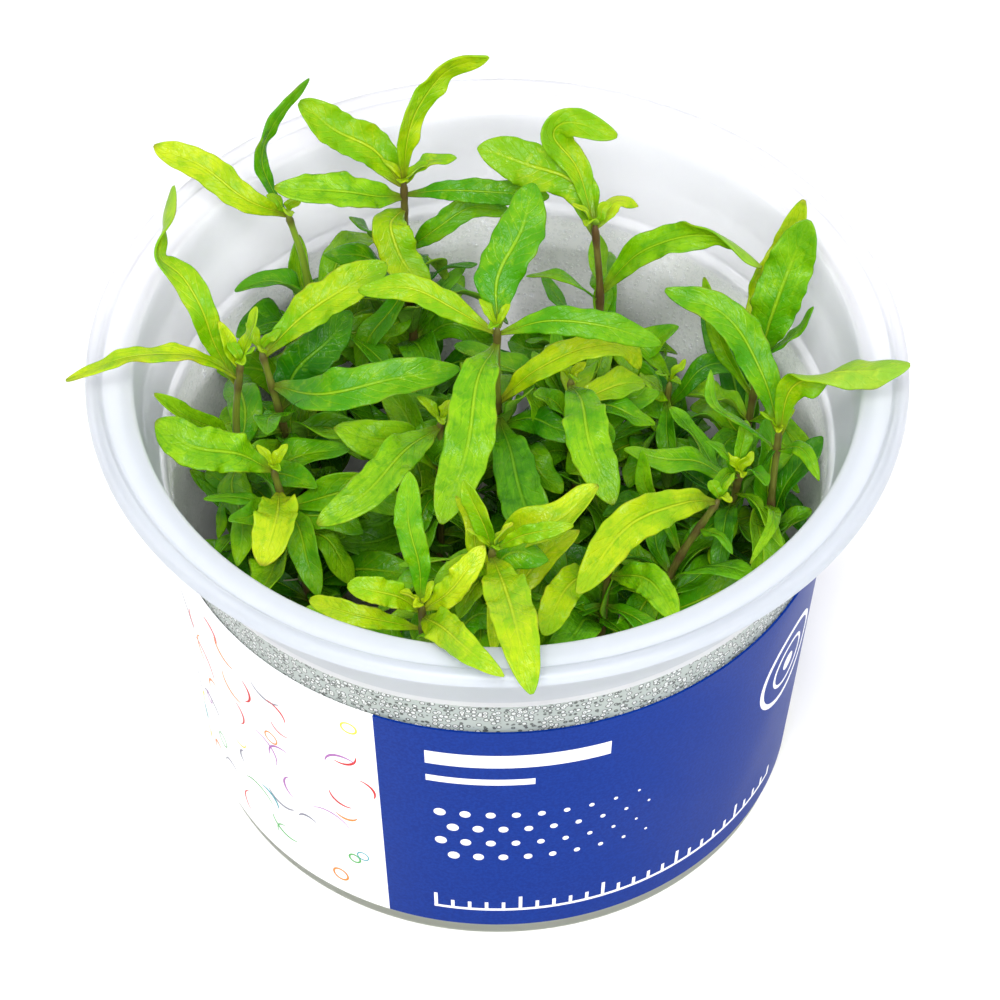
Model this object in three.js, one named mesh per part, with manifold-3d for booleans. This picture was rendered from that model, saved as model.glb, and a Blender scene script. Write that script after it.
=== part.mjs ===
// Tissue culture tiger hygrophila in its open tub, in millimetres, +Z up.
// The tub stands on its flat base, centred on the origin, and its front, where the label
// turns from white to blue, faces -Y.
import * as THREE from 'three';
import { mergeVertices } from 'three/addons/utils/BufferGeometryUtils.js';
import Module from 'manifold-3d';

const wasm = await Module();
wasm.setup();

// Driving dimensions of the tub
const TUB_HEIGHT = 66;
const RIM_RADIUS = 50;
const BASE_RADIUS = 36.7;
const TOP_OF_TAPER_RADIUS = 41.5;
const TOP_OF_TAPER = 51;
const BASE_CORNER = 1.7;
const WALL = 0.8;
const FLOOR = 1.2;
const SEALING_FACE = 65.3;
const MOUTH_RADIUS = 44.2;
const MOUTH_EDGE = 64.4;
const SEAT_FOOT = 52.6;
const SEAT_BEND = 58;
const SEAT_FOOT_RADIUS = 41.5;
const SEAT_BEND_RADIUS = 43.3;
const SHOULDER_RISE = 0.6;
const FLANGE_ROOT_RISE = 1.2;
const FLANGE_ROOT_REACH = 1.8;
const MOUTH_CHAMFER = 0.9;
const BASE_BEVEL = 0.5;
const INNER_CORNER = 1.2;
const TUB_FACETS = 36;

// The rolled rim's section, from its underside round the outside to the sealing face, as
// [inset from the rim, drop from the top]
const RIM_SECTION = [[1.4, 1.5], [0.9, 2.1], [0.2, 1.9], [0, 0.9], [0.8, 0], [1.7, 0], [2.5, 0.7]];

// The label wraps the taper and leaves a bare strip at the back
const LABEL_BOTTOM = 3.3;
const LABEL_TOP = 45.6;
const LABEL_THICKNESS = 0.3;
const LABEL_GAP_AT_BACK = 0.12;
const LABEL_FACETS = 36;

// The clear jelly that the cuttings are rooted in
const JELLY_TOP = 9;
const JELLY_CORNER = 1.6;
const JELLY_FACETS = 18;
const POCKET_SIDES = 4;
const POCKET_CLEARANCE = 1;

// Every piece keeps this clearance from its neighbours
const GAP = 0.35;

// Stems
const STEM_RADIUS = 0.85;
const STEM_TAPER = 0.25;
const STEM_SIDES = 4;
const STEM_SECTIONS = 4;

// Blades: widths at the stalk and the tip are shares of the full width, the belly sits nearer
// the stem the smaller its shift and is fuller the smaller its power
const LEAF_SIDES = 4;
const LEAF_SECTIONS = 5;
const TWISTED_LEAF_SECTIONS = 9;
const SPRIG_SIDES = 3;
const SPRIG_SECTIONS = 2;
const LEAF_THICKNESS = 0.7;
const LEAF_FOLD = 0.16;
const STALK_SHARE = 0.16;
const TIP_SHARE = 0.14;
const TIP_END_SHARE = 0.6;
const TIP_THICKNESS_SHARE = 0.5;
const BELLY_SHIFT = 0.85;
const BELLY_POWER = 0.8;
const TWIST_SPREAD = 0.22;

// The lower leaves grow in opposite pairs, each pair across the one below it
const FIRST_PAIR = 28;
const PAIR_SPACING = 7;
const PAIR_TURN = 90;
const TOP_PAIR_CLEARANCE = 1.5;
const PAIR_LENGTH = [14, 20];
const PAIR_WIDTH = [4.4, 6];
const PAIR_RISE = [10, 50];
const PAIR_DROOP = [20, 60];
const SHOOT_TURN = 47;
const PAIR_TRIES = 90;
const TURN_PER_TRY = 3;
const SLOPE_PER_TRY = 17;
const SLOPE_SPAN = 40;
const SLOPE_BELOW = 15;
const SHORTENING = 0.45;

// Balls along a blade or a stem stand for it when room is looked for
const BLADE_BALLS = 9;
const STALK_BALLS = 2;
const STEM_BALLS = 30;

const HALVINGS = 24;
const MERGE_DISTANCE = 1e-4;
const RANDOM_SEED = 4711;
const RANDOM_FACTOR = 16807;
const RANDOM_MODULUS = 2147483647;

// Left free of leaves: the open space under the mouth at the back, as low and high corners
const OPEN_SPACE = new THREE.Box3(new THREE.Vector3(16, 24, 51), new THREE.Vector3(26, 31, 66));

// Colour and roughness of each material
const FINISHES = {
  tub: [0xe6e7ee, 0.35],
  label: [0x2a419c, 0.4],
  jelly: [0xd9d6c4, 0.2],
  stem: [0x7d7a35, 0.6],
  bright: [0xa9cf22, 0.45],
  green: [0x5fae18, 0.45],
  deep: [0x2c7a17, 0.45],
};

const UP = [0, 0, 1];
const TO_FRONT = [0, -0.55, 0.83];

// Each shoot: its stem from the jelly to the tip, its named leaves, and small sprigs that are
// one with the stem. A leaf starts on the stem at height `at` and runs through `via`; `face`
// is the way its upper side looks, and `twist` turns the blade about its length, in degrees.
// A stem with a height `bareFrom` has shed its lower leaves above it.
const SHOOTS = {
  left: {
    stem: [[-25, -3, 7], [-30, -2, 32], [-32, 0, 54], [-31, -2, 68.5]],
    leaves: [
      { at: 65, via: [[-36, -2.5, 70], [-44, -4.5, 72], [-52, -5.5, 69]], width: 3, shade: 'bright' },
      { at: 63, via: [[-33.8, 0, 69], [-35.3, 1, 74.5], [-38, 4, 77], [-41, 6.3, 78.2], [-40, 9, 80],
        [-39, 14.5, 82]],
        width: 3.4, twist: 130, twistAt: 0.72, face: TO_FRONT, shade: 'bright' },
    ],
    sprigs: [
      { at: 67, via: [[-32.5, -0.5, 70.5], [-33.5, 0.5, 73]], width: 1.8 },
      { at: 67.5, via: [[-30, -0.5, 71], [-29, 1, 75]], width: 2.1 },
      { at: 51, via: [[-38, -3.5, 61], [-41.5, -4, 65]], width: 2.4, face: [0.6, -0.6, 0.5] },
    ],
  },
  back_left: {
    stem: [[-19, 17, 7], [-23, 22, 32], [-24, 25, 56], [-26, 24.7, 67]],
    bareFrom: 50,
    leaves: [
      { at: 66.3, via: [[-30, 24, 70], [-36, 26.3, 72.5], [-42.5, 29.5, 74]],
        width: 4, face: TO_FRONT, shade: 'bright' },
      { at: 66, via: [[-28, 27, 69.5], [-29, 28, 73.5], [-27.5, 29.5, 78], [-23, 33, 82]], width: 2.5,
        face: [0.8, -0.5, 0.3], shade: 'green' },
    ],
  },
  back: {
    stem: [[-8, 20, 7], [-10, 25, 32], [-11.5, 28.3, 60], [-11.6, 28.3, 69]],
    leaves: [
      { at: 68.5, via: [[-11, 28.8, 74], [-9.5, 31, 79.5], [-6.5, 32.5, 84], [-1, 31.5, 87]], width: 3.3,
        face: [0.5, -0.8, 0.2], shade: 'bright' },
      { at: 66, via: [[-17, 25.5, 70], [-22, 24.5, 70.5], [-27.5, 24.7, 71.5]],
        width: 4.4, face: TO_FRONT, shade: 'green' },
      { at: 68, via: [[-16, 30.5, 72], [-20.5, 32.5, 75], [-24.5, 33.5, 77.5]],
        width: 5, face: TO_FRONT, shade: 'bright' },
      { at: 64, via: [[-13.5, 24, 65.5], [-12, 21.5, 63], [-8.5, 18.5, 59]],
        width: 5, face: TO_FRONT, shade: 'bright' },
      { at: 66.5, via: [[-7, 27, 68.5], [0, 26.3, 69], [6.5, 27, 67.5]],
        width: 3.1, face: TO_FRONT, shade: 'green' },
      { at: 57, via: [[-7.5, 26, 63], [-3, 27.5, 65], [2, 26.5, 65]],
        width: 3, face: TO_FRONT, shade: 'green' },
    ],
    sprigs: [
      { at: 68.3, via: [[-8.5, 29.3, 71.5], [-5, 29, 72.3]], width: 2.6, face: TO_FRONT },
    ],
  },
  back_right: {
    stem: [[10, 14, 7], [12, 17, 32], [12.8, 20.2, 56], [12, 20.3, 69.5]],
    leaves: [
      { at: 67, via: [[9.5, 24, 71.5], [4, 27.5, 73.5], [-2.5, 28.5, 74.5]],
        width: 6, face: TO_FRONT, shade: 'bright' },
      { at: 69, via: [[9.5, 25.5, 74], [7, 27.5, 78], [8.5, 27.5, 79.5], [14.7, 25.5, 79.5]], width: 3.7,
        face: [0.5, -0.7, 0.5], shade: 'bright' },
      { at: 57, via: [[17.5, 21, 64], [24, 20, 67.5], [28, 18.5, 68.5], [32.5, 16, 66]], width: 3.8,
        twist: 100, twistAt: 0.68, face: TO_FRONT, shade: 'green' },
    ],
    sprigs: [
      { at: 68.5, via: [[14.5, 23.8, 70], [17.5, 23.8, 69]], width: 2.7, face: TO_FRONT },
      { at: 56, via: [[8, 19.6, 61], [3.5, 19.2, 61.5]], width: 2, face: [0, 0.3, 1] },
    ],
  },
  centre: {
    stem: [[2, 2, 7], [1, 5, 32], [0, 5.4, 54], [0, 4.3, 68]],
    leaves: [
      { at: 67.3, via: [[0.5, 8, 71.5], [2.2, 13, 75.5], [4.5, 18.5, 78.5]],
        width: 6.2, face: TO_FRONT, shade: 'green' },
      { at: 66.5, via: [[-5.5, 6, 70], [-10.5, 7, 71.5], [-17, 8, 70.5]],
        width: 3.6, face: TO_FRONT, shade: 'bright' },
      { at: 66.5, via: [[6, 3.5, 70], [12.5, 2.5, 70], [20, 2.3, 67]],
        width: 3.8, face: TO_FRONT, shade: 'green' },
      { at: 65, via: [[-2, -5, 68], [-4, -13, 65.5], [-6.7, -22, 61.5]],
        width: 6, face: TO_FRONT, shade: 'green' },
      { at: 53, via: [[4.6, 4.6, 60], [11.3, 5.1, 63.5], [15.7, 5.1, 63.5], [17.5, 4.6, 60]], width: 3.4,
        face: TO_FRONT, shade: 'bright' },
      { at: 51, via: [[2, -7.5, 54.5], [5, -15.5, 53.5], [7.8, -21.4, 48.5]],
        width: 5.6, face: TO_FRONT, shade: 'deep' },
    ],
  },
  centre_right: {
    stem: [[10, 7, 7], [10, 7, 32], [9, 5, 58]],
    leaves: [
      { at: 57, via: [[10, -2.5, 61], [12, -9.5, 60.5], [14, -15, 57]],
        width: 5.6, face: TO_FRONT, shade: 'green' },
    ],
  },
  right_back: {
    stem: [[25, 9, 7], [30, 10, 32], [32.5, 10, 57]],
    leaves: [
      { at: 55, via: [[33, 16.5, 60.5], [35.5, 19.5, 66], [37.7, 22, 72]],
        width: 4, face: [-0.3, -0.9, 0.3], shade: 'bright' },
      { at: 56, via: [[34, 11, 64], [36, 14, 69.5], [38, 15.5, 75]],
        width: 6, face: [-0.2, -0.9, 0.3], shade: 'green' },
    ],
    sprigs: [
      { at: 56.5, via: [[36.5, 11, 59.5], [38.8, 12, 63.5]], width: 2 },
      { at: 49, via: [[27.5, 14, 56], [25.5, 17, 63.5]], width: 2.2, face: [0, -1, 0.2] },
    ],
  },
  right: {
    stem: [[30, -9, 7], [33, -6, 32], [34, -3.5, 50], [34.4, -3, 57.5]],
    leaves: [
      { at: 56, via: [[36, -2, 64], [40.5, -3.5, 67.8], [45, -5.2, 70], [49.6, -5.7, 71.8]], width: 4.3,
        twist: 150, twistAt: 0.5, face: TO_FRONT, shade: 'bright' },
      { at: 56.8, via: [[32.6, 1, 63], [27.7, 5.7, 68], [20.4, 8.7, 70]],
        width: 4.6, face: TO_FRONT, shade: 'green' },
    ],
    sprigs: [
      { at: 54, via: [[30, -2.8, 58.5], [26.5, -1.8, 60.5], [26, 1.5, 63.5]], width: 2.2 },
      { at: 54, via: [[37.5, -7.5, 58.5], [39, -11.5, 57.5]], width: 2.2 },
      { at: 45, via: [[33.3, -13.5, 53], [30.5, -20, 52]], width: 2 },
    ],
  },
  right_inner: {
    stem: [[26, 0, 7], [28, -1, 32], [29.7, -5.2, 52]],
    leaves: [],
    sprigs: [
      { at: 51, via: [[27.5, -8, 54.5], [26, -11, 55]], width: 2 },
      { at: 51, via: [[27.5, -4, 55], [25.5, -3.5, 56]], width: 2 },
      { at: 51.2, via: [[30, -2.5, 55], [30.5, -0.5, 56.5]], width: 2 },
      { at: 51.4, via: [[32, -7, 54], [32.8, -9.5, 54.5]], width: 2 },
    ],
  },
  right_front: {
    stem: [[15, -11, 7], [18, -14, 30], [22, -13.5, 45], [27, -11.2, 54]],
    leaves: [
      { at: 53.5, via: [[22.5, -15.5, 58.5], [16.5, -20, 59.5], [9.5, -29.5, 57.5]],
        width: 5, face: TO_FRONT, shade: 'bright' },
    ],
    sprigs: [
      { at: 46, via: [[19, -10.5, 53], [17.5, -8.6, 60]], width: 2.3, face: [0, -1, 0.2] },
      { at: 50, via: [[27, -15.5, 52], [28.5, -18, 51.5]], width: 2 },
    ],
  },
  front_right: {
    stem: [[8, -18, 7], [12, -21, 32], [13.5, -20, 52]],
    leaves: [
      { at: 51, via: [[9, -25, 54.5], [5.5, -32.5, 53.5]], width: 4, face: TO_FRONT, shade: 'bright' },
      { at: 50, via: [[18.5, -25, 54.5], [21.4, -31, 54.5]], width: 4, face: TO_FRONT, shade: 'green' },
    ],
  },
  front: {
    stem: [[-6, -25, 7], [-8, -31, 32], [-8.8, -34.3, 54], [-8.9, -35, 62]],
    leaves: [
      { at: 61.3, via: [[-9.8, -32.5, 69.5], [-10.3, -28, 77.5]],
        width: 3.4, face: [0, -0.8, 0.6], shade: 'green' },
      { at: 60.5, via: [[-13.8, -35.5, 65], [-17.6, -35.2, 65.5]],
        width: 3.2, face: TO_FRONT, shade: 'bright' },
      { at: 60.5, via: [[-4.5, -35, 66], [-1.5, -32, 69]], width: 3.5, face: TO_FRONT, shade: 'bright' },
      { at: 59.5, via: [[-6.3, -43, 67], [-3, -48.5, 69], [0.8, -51.5, 68.3]],
        width: 4.3, face: TO_FRONT, shade: 'bright' },
      { at: 57, via: [[-16.5, -36.3, 61.5], [-22.3, -32.5, 60]],
        width: 2.6, face: TO_FRONT, shade: 'bright' },
    ],
  },
  front_centre: {
    stem: [[1, -15, 7], [0, -21, 32], [-0.6, -25.8, 54], [-0.6, -27, 63]],
    leaves: [
      { at: 62.2, via: [[4.5, -27.6, 66.5], [9, -27.5, 67.5]], width: 2.2, face: TO_FRONT, shade: 'bright' },
      { at: 61.3, via: [[1, -38, 68], [2.5, -47, 70], [4, -53.5, 67.5]],
        width: 5.4, face: TO_FRONT, shade: 'bright' },
    ],
    sprigs: [
      { at: 62.3, via: [[-2, -26, 67.5], [-4, -24, 71.5]], width: 2.6, face: [0, -0.8, 0.6] },
    ],
  },
  left_front: {
    stem: [[-18, -9, 7], [-23, -9, 32], [-27.3, -8, 56]],
    leaves: [
      { at: 55.6, via: [[-32.3, -10, 60.5], [-37.7, -9.5, 63], [-41.3, -7, 63.5]],
        width: 5.6, face: TO_FRONT, shade: 'green' },
      { at: 52, via: [[-26.7, -17.5, 57], [-28.2, -23.3, 55.5]], width: 5, face: TO_FRONT, shade: 'bright' },
    ],
  },
  centre_left: {
    stem: [[-6, -5, 7], [-7, -4, 32], [-7, -1, 57]],
    leaves: [
      { at: 56, via: [[-12, -10.5, 60.5], [-16.5, -16.5, 60.5], [-21.7, -19, 58]],
        width: 4.8, face: TO_FRONT, shade: 'green' },
    ],
  },
  inner_back: {
    stem: [[18, 8, 7], [20, 11, 32], [21.5, 12, 50]],
    leaves: [],
  },
  left_back: {
    stem: [[-18, 6, 7], [-24, 7, 32], [-27.5, 6, 54], [-29, 7, 61]],
    leaves: [
      { at: 60, via: [[-24, 9.3, 64.5], [-18.5, 11.5, 67.3], [-13.5, 14.5, 68.5]],
        width: 5, face: TO_FRONT, shade: 'bright' },
      { at: 51, via: [[-23, 9.5, 57.5], [-18, 14.5, 60]], width: 5.6, face: TO_FRONT, shade: 'deep' },
      { at: 55.5, via: [[-20.5, -0.5, 61.5], [-12, 0.5, 62.5], [-4.5, 3, 62]],
        width: 5.2, face: TO_FRONT, shade: 'green' },
    ],
  },
};

const vector = ([x, y, z]) => new THREE.Vector3(x, y, z);
const radians = THREE.MathUtils.degToRad;

// A repeatable stream of numbers from 0 to 1
let randomState = RANDOM_SEED;
function random() {
  randomState = (randomState * RANDOM_FACTOR) % RANDOM_MODULUS;
  return randomState / RANDOM_MODULUS;
}
const between = ([low, high]) => low + (high - low) * random();

// Radius of the taper's outer face at a height
function taperRadius(z) {
  const share = (z - BASE_CORNER) / (TOP_OF_TAPER - BASE_CORNER);
  return BASE_RADIUS + (TOP_OF_TAPER_RADIUS - BASE_RADIUS) * share;
}

// Radius of the inner face at a height, from the floor to the mouth
function innerRadius(z) {
  if (z <= SEAT_FOOT) return taperRadius(z) - WALL;
  if (z <= SEAT_BEND) {
    return THREE.MathUtils.mapLinear(z, SEAT_FOOT, SEAT_BEND, SEAT_FOOT_RADIUS, SEAT_BEND_RADIUS);
  }
  return THREE.MathUtils.mapLinear(z, SEAT_BEND, MOUTH_EDGE, SEAT_BEND_RADIUS, MOUTH_RADIUS);
}

// Turn a profile of [radius, height] points about the tub's axis
function turned(profile, facets) {
  const points = profile.map(([radius, height]) => new THREE.Vector2(radius, height));
  return new THREE.LatheGeometry(points, facets).rotateX(Math.PI / 2);
}

function tubGeometry() {
  const shoulder = TOP_OF_TAPER + SHOULDER_RISE;
  const innerCorner = FLOOR + INNER_CORNER;
  const outside = [
    [0, 0], [BASE_RADIUS - BASE_CORNER, 0],
    [BASE_RADIUS - BASE_BEVEL, BASE_BEVEL], [BASE_RADIUS, BASE_CORNER],
    [TOP_OF_TAPER_RADIUS, TOP_OF_TAPER],
    [SEAT_FOOT_RADIUS + WALL, shoulder], [SEAT_FOOT_RADIUS + WALL, SEAT_FOOT],
    [SEAT_BEND_RADIUS + WALL, SEAT_BEND], [MOUTH_RADIUS + WALL, MOUTH_EDGE - FLANGE_ROOT_RISE],
    [MOUTH_RADIUS + FLANGE_ROOT_REACH, SEALING_FACE - WALL],
  ];
  const rim = RIM_SECTION.map(([inset, drop]) => [RIM_RADIUS - inset, TUB_HEIGHT - drop]);
  const inside = [
    [MOUTH_RADIUS + MOUTH_CHAMFER, SEALING_FACE], [MOUTH_RADIUS, MOUTH_EDGE],
    [SEAT_BEND_RADIUS, SEAT_BEND], [SEAT_FOOT_RADIUS, SEAT_FOOT],
    [TOP_OF_TAPER_RADIUS - WALL, shoulder],
    [taperRadius(innerCorner) - WALL, innerCorner], [BASE_RADIUS - WALL - INNER_CORNER, FLOOR], [0, FLOOR],
  ];
  return turned([...outside, ...rim, ...inside], TUB_FACETS);
}

function labelGeometry() {
  const inside = taperRadius(LABEL_BOTTOM) + GAP;
  const insideTop = taperRadius(LABEL_TOP) + GAP;
  const band = new THREE.Shape([
    new THREE.Vector2(inside, LABEL_BOTTOM), new THREE.Vector2(inside + LABEL_THICKNESS, LABEL_BOTTOM),
    new THREE.Vector2(insideTop + LABEL_THICKNESS, LABEL_TOP), new THREE.Vector2(insideTop, LABEL_TOP),
  ]);
  // The band's section is pushed along a unit length, which is then bent round the tub
  const strip = new THREE.ExtrudeGeometry(band, { depth: 1, steps: LABEL_FACETS, bevelEnabled: false });
  const place = strip.attributes.position;
  for (let i = 0; i < place.count; i += 1) {
    const angle = Math.PI / 2 - LABEL_GAP_AT_BACK / 2 - place.getZ(i) * (2 * Math.PI - LABEL_GAP_AT_BACK);
    const radius = place.getX(i);
    place.setXYZ(i, radius * Math.cos(angle), radius * Math.sin(angle), place.getY(i));
  }
  return strip;
}

function jellyGeometry() {
  const floor = FLOOR + GAP;
  const corner = floor + JELLY_CORNER;
  const low = innerRadius(corner) - GAP;
  const top = innerRadius(JELLY_TOP) - GAP;
  const profile = [[0, floor], [low - JELLY_CORNER, floor], [low, corner], [top, JELLY_TOP], [0, JELLY_TOP]];
  return turned(profile, JELLY_FACETS);
}

// The width of a blade at a share of its length, as a share of its full width: a thin stalk,
// a long belly and a drawn tip
function bladeShape(share) {
  const belly = Math.max(Math.sin(Math.PI * Math.pow(share, BELLY_SHIFT)), 0);
  const tip = share < 1 ? TIP_SHARE : TIP_SHARE * TIP_END_SHARE;
  return Math.max(share < 0.5 ? STALK_SHARE : tip, Math.pow(belly, BELLY_POWER));
}

// Bend an upright blank of unit height along a spine: `outline` gives its half width and half
// thickness at a share of the length, `face` the way its upper side looks
function bent(blank, spine, outline, { face = UP, twist = 0, twistAt = 0.5, fold = 0 } = {}) {
  const place = blank.attributes.position;
  const point = new THREE.Vector3();
  const across = new THREE.Vector3();
  const normal = new THREE.Vector3();
  for (let i = 0; i < place.count; i += 1) {
    const share = THREE.MathUtils.clamp(place.getY(i) + 0.5, 0, 1);
    const along = spine.getTangentAt(share);
    normal.set(...face).projectOnPlane(along).normalize();
    const turn = THREE.MathUtils.smoothstep(share, twistAt - TWIST_SPREAD, twistAt + TWIST_SPREAD);
    normal.applyAxisAngle(along, radians(twist) * turn);
    across.crossVectors(along, normal);
    const { width, thickness } = outline(share);
    const side = place.getX(i) * width;
    const rise = place.getZ(i) * thickness + fold * Math.abs(side);
    spine.getPointAt(share, point).addScaledVector(across, side).addScaledVector(normal, rise);
    place.setXYZ(i, point.x, point.y, point.z);
  }
  return blank;
}

function bladeGeometry(leaf, sides, sections) {
  const blank = new THREE.CylinderGeometry(1, 1, 1, sides, sections);
  const outline = (share) => ({
    width: (leaf.width / 2) * bladeShape(share),
    thickness: (LEAF_THICKNESS / 2) * (share < 1 ? 1 : TIP_THICKNESS_SHARE),
  });
  return bent(blank, leaf.spine, outline, { ...leaf, fold: LEAF_FOLD });
}

function stemGeometry(shoot) {
  const blank = new THREE.CylinderGeometry(1, 1, 1, STEM_SIDES, STEM_SECTIONS);
  const outline = (share) => {
    const radius = STEM_RADIUS * (1 - STEM_TAPER * share);
    return { width: radius, thickness: radius };
  };
  return bent(blank, shoot.curve, outline, { face: [1, 0, 0] });
}

// The point of a stem at a height, found by halving
function stemPoint(curve, height) {
  let [low, high] = [0, 1];
  for (let i = 0; i < HALVINGS; i += 1) {
    const middle = (low + high) / 2;
    const isBelow = curve.getPointAt(middle).z < height;
    low = isBelow ? middle : low;
    high = isBelow ? high : middle;
  }
  return curve.getPointAt(low);
}

// A leaf's spine: from the stem, with a start this far from the stem's middle, through `via`
function spineFrom(curve, leaf, startDistance) {
  const root = stemPoint(curve, leaf.at);
  const first = vector(leaf.via[0]);
  const start = root.clone().addScaledVector(first.clone().sub(root).normalize(), startDistance);
  return new THREE.CatmullRomCurve3([start, ...leaf.via.map(vector)], false, 'centripetal');
}

// Balls that cover a blade or a stem, for finding free room
function covering(spine, radiusAt, count) {
  return Array.from({ length: count }, (_, i) => {
    const share = (i + 0.5) / count;
    return { centre: spine.getPointAt(share), radius: radiusAt(share) };
  });
}
function coverLeaf(leaf) {
  return covering(leaf.spine, (share) => (leaf.width / 2) * bladeShape(share), BLADE_BALLS);
}

function insideTub({ centre, radius }) {
  const reach = Math.hypot(centre.x, centre.y) + radius + GAP;
  return reach < innerRadius(centre.z) && centre.z - radius > JELLY_TOP + GAP;
}

function isFree(balls, taken) {
  return balls.every((ball) => insideTub(ball)
    && OPEN_SPACE.distanceToPoint(ball.centre) > ball.radius + GAP
    && taken.every((other) => other.centre.distanceTo(ball.centre) > other.radius + ball.radius + GAP));
}

// One lower leaf: it turns, rises and shortens until it has room of its own
function lowerLeaf(shoot, height, heading, taken) {
  const length = between(PAIR_LENGTH);
  const width = between(PAIR_WIDTH);
  const rise = between(PAIR_RISE);
  const droop = between(PAIR_DROOP);
  const root = stemPoint(shoot.curve, height);
  for (let attempt = 0; attempt < PAIR_TRIES; attempt += 1) {
    const azimuth = radians(heading + (attempt % 2 ? 1 : -1) * attempt * TURN_PER_TRY);
    const slope = radians(rise + ((attempt * SLOPE_PER_TRY) % SLOPE_SPAN) - SLOPE_BELOW);
    const reach = length * (1 - SHORTENING * (attempt / PAIR_TRIES));
    const step = (from, angle, distance) => from.clone().add(new THREE.Vector3(
      Math.cos(azimuth) * Math.cos(angle), Math.sin(azimuth) * Math.cos(angle), Math.sin(angle),
    ).multiplyScalar(distance));
    const middle = step(root, slope, reach * 0.5);
    const tip = step(middle, slope - radians(droop), reach * 0.5);
    const leaf = { at: height, via: [middle.toArray(), tip.toArray()], width: width * (reach / length) };
    leaf.spine = spineFrom(shoot.curve, leaf, 0);
    const balls = coverLeaf(leaf).slice(STALK_BALLS);
    if (isFree(balls, taken)) {
      taken.push(...balls);
      return leaf;
    }
  }
  return null;
}

function prepareShoots() {
  const shoots = Object.entries(SHOOTS).map(([name, plan]) => ({
    name,
    curve: new THREE.CatmullRomCurve3(plan.stem.map(vector), false, 'centripetal'),
    ...plan,
  }));
  for (const shoot of shoots) {
    const withSpine = (leaf, start) => ({ ...leaf, spine: spineFrom(shoot.curve, leaf, start) });
    shoot.leaves = shoot.leaves.map((leaf) => withSpine(leaf, STEM_RADIUS + 2 * GAP));
    shoot.sprigs = (shoot.sprigs ?? []).map((leaf) => withSpine(leaf, 0));
    shoot.ownRoom = covering(shoot.curve, () => STEM_RADIUS, STEM_BALLS);
  }
  return shoots;
}

function growLowerLeaves(shoots) {
  const named = shoots.flatMap((shoot) => [...shoot.leaves, ...shoot.sprigs].flatMap(coverLeaf));
  const grown = [];
  shoots.forEach((shoot, index) => {
    const otherStems = shoots.filter((other) => other !== shoot).flatMap((other) => other.ownRoom);
    const stemTop = shoot.stem.at(-1)[2];
    const lowestNamed = Math.min(stemTop, ...[...shoot.leaves, ...shoot.sprigs].map((leaf) => leaf.at));
    const taken = [...named, ...otherStems, ...grown];
    const before = taken.length;
    let heading = index * SHOOT_TURN;
    for (let z = FIRST_PAIR; z < lowestNamed - TOP_PAIR_CLEARANCE; z += PAIR_SPACING) {
      for (const side of [0, 180]) {
        const leaf = lowerLeaf(shoot, z, heading + side, taken);
        if (leaf && z < (shoot.bareFrom ?? stemTop)) shoot.sprigs.push(leaf);
      }
      heading += PAIR_TURN;
    }
    grown.push(...taken.slice(before));
  });
}

// A closed geometry with its shared corners merged, as a solid that can be joined or cut
function solidOf(geometry) {
  geometry.deleteAttribute('normal');
  geometry.deleteAttribute('uv');
  const merged = mergeVertices(geometry, MERGE_DISTANCE);
  return new wasm.Manifold(new wasm.Mesh({
    numProp: 3,
    vertProperties: new Float32Array(merged.attributes.position.array),
    triVerts: new Uint32Array(merged.index.array),
  }));
}

function geometryOf(solid) {
  const { vertProperties, triVerts } = solid.getMesh();
  const geometry = new THREE.BufferGeometry();
  geometry.setAttribute('position', new THREE.BufferAttribute(new Float32Array(vertProperties), 3));
  geometry.setIndex(new THREE.BufferAttribute(new Uint32Array(triVerts), 1));
  geometry.computeVertexNormals();
  return geometry;
}

// A stem and the small leaves that are one with it
function joinedShoot(shoot) {
  const pieces = shoot.sprigs.map((leaf) => solidOf(bladeGeometry(leaf, SPRIG_SIDES, SPRIG_SECTIONS)));
  return geometryOf(pieces.reduce((whole, piece) => whole.add(piece), solidOf(stemGeometry(shoot))));
}

// The jelly, with a pocket round the foot of each stem
function rootedJelly(shoots) {
  const radius = STEM_RADIUS + POCKET_CLEARANCE;
  const pocket = (shoot) => {
    const foot = shoot.curve.getPointAt(0);
    const low = foot.z - GAP;
    const depth = JELLY_TOP - low + GAP;
    const hole = new THREE.CylinderGeometry(radius, radius, depth, POCKET_SIDES);
    return solidOf(hole.rotateX(Math.PI / 2).translate(foot.x, foot.y, low + depth / 2));
  };
  return geometryOf(shoots.reduce((jelly, shoot) => jelly.subtract(pocket(shoot)), solidOf(jellyGeometry())));
}

function named(name, geometry, finish) {
  const [color, roughness] = FINISHES[finish];
  const mesh = new THREE.Mesh(geometry, new THREE.MeshStandardMaterial({ color, roughness, metalness: 0 }));
  mesh.name = name;
  return mesh;
}

const shoots = prepareShoots();
growLowerLeaves(shoots);

const plant = new THREE.Group();
plant.add(named('tub', tubGeometry(), 'tub'));
plant.add(named('label', labelGeometry(), 'label'));
plant.add(named('jelly', rootedJelly(shoots), 'jelly'));
for (const shoot of shoots) {
  plant.add(named(`${shoot.name}_shoot_stem`, joinedShoot(shoot), 'stem'));
  shoot.leaves.forEach((leaf, i) => {
    const sections = leaf.twist ? TWISTED_LEAF_SECTIONS : LEAF_SECTIONS;
    const blade = bladeGeometry(leaf, LEAF_SIDES, sections);
    plant.add(named(`${shoot.name}_shoot_leaf_${i + 1}`, blade, leaf.shade));
  });
}

export default plant;
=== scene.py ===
"""Visual model of a tissue culture tiger hygrophila in its open tub.

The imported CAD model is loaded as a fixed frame. Every piece here is built in metres in that
frame and rides on the part's one body. A piece that has a CAD node takes its place.
"""

import logging
import math
from dataclasses import dataclass
from enum import Enum

import bmesh
import bpy
import numpy as np
from mathutils import Matrix, Vector

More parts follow.
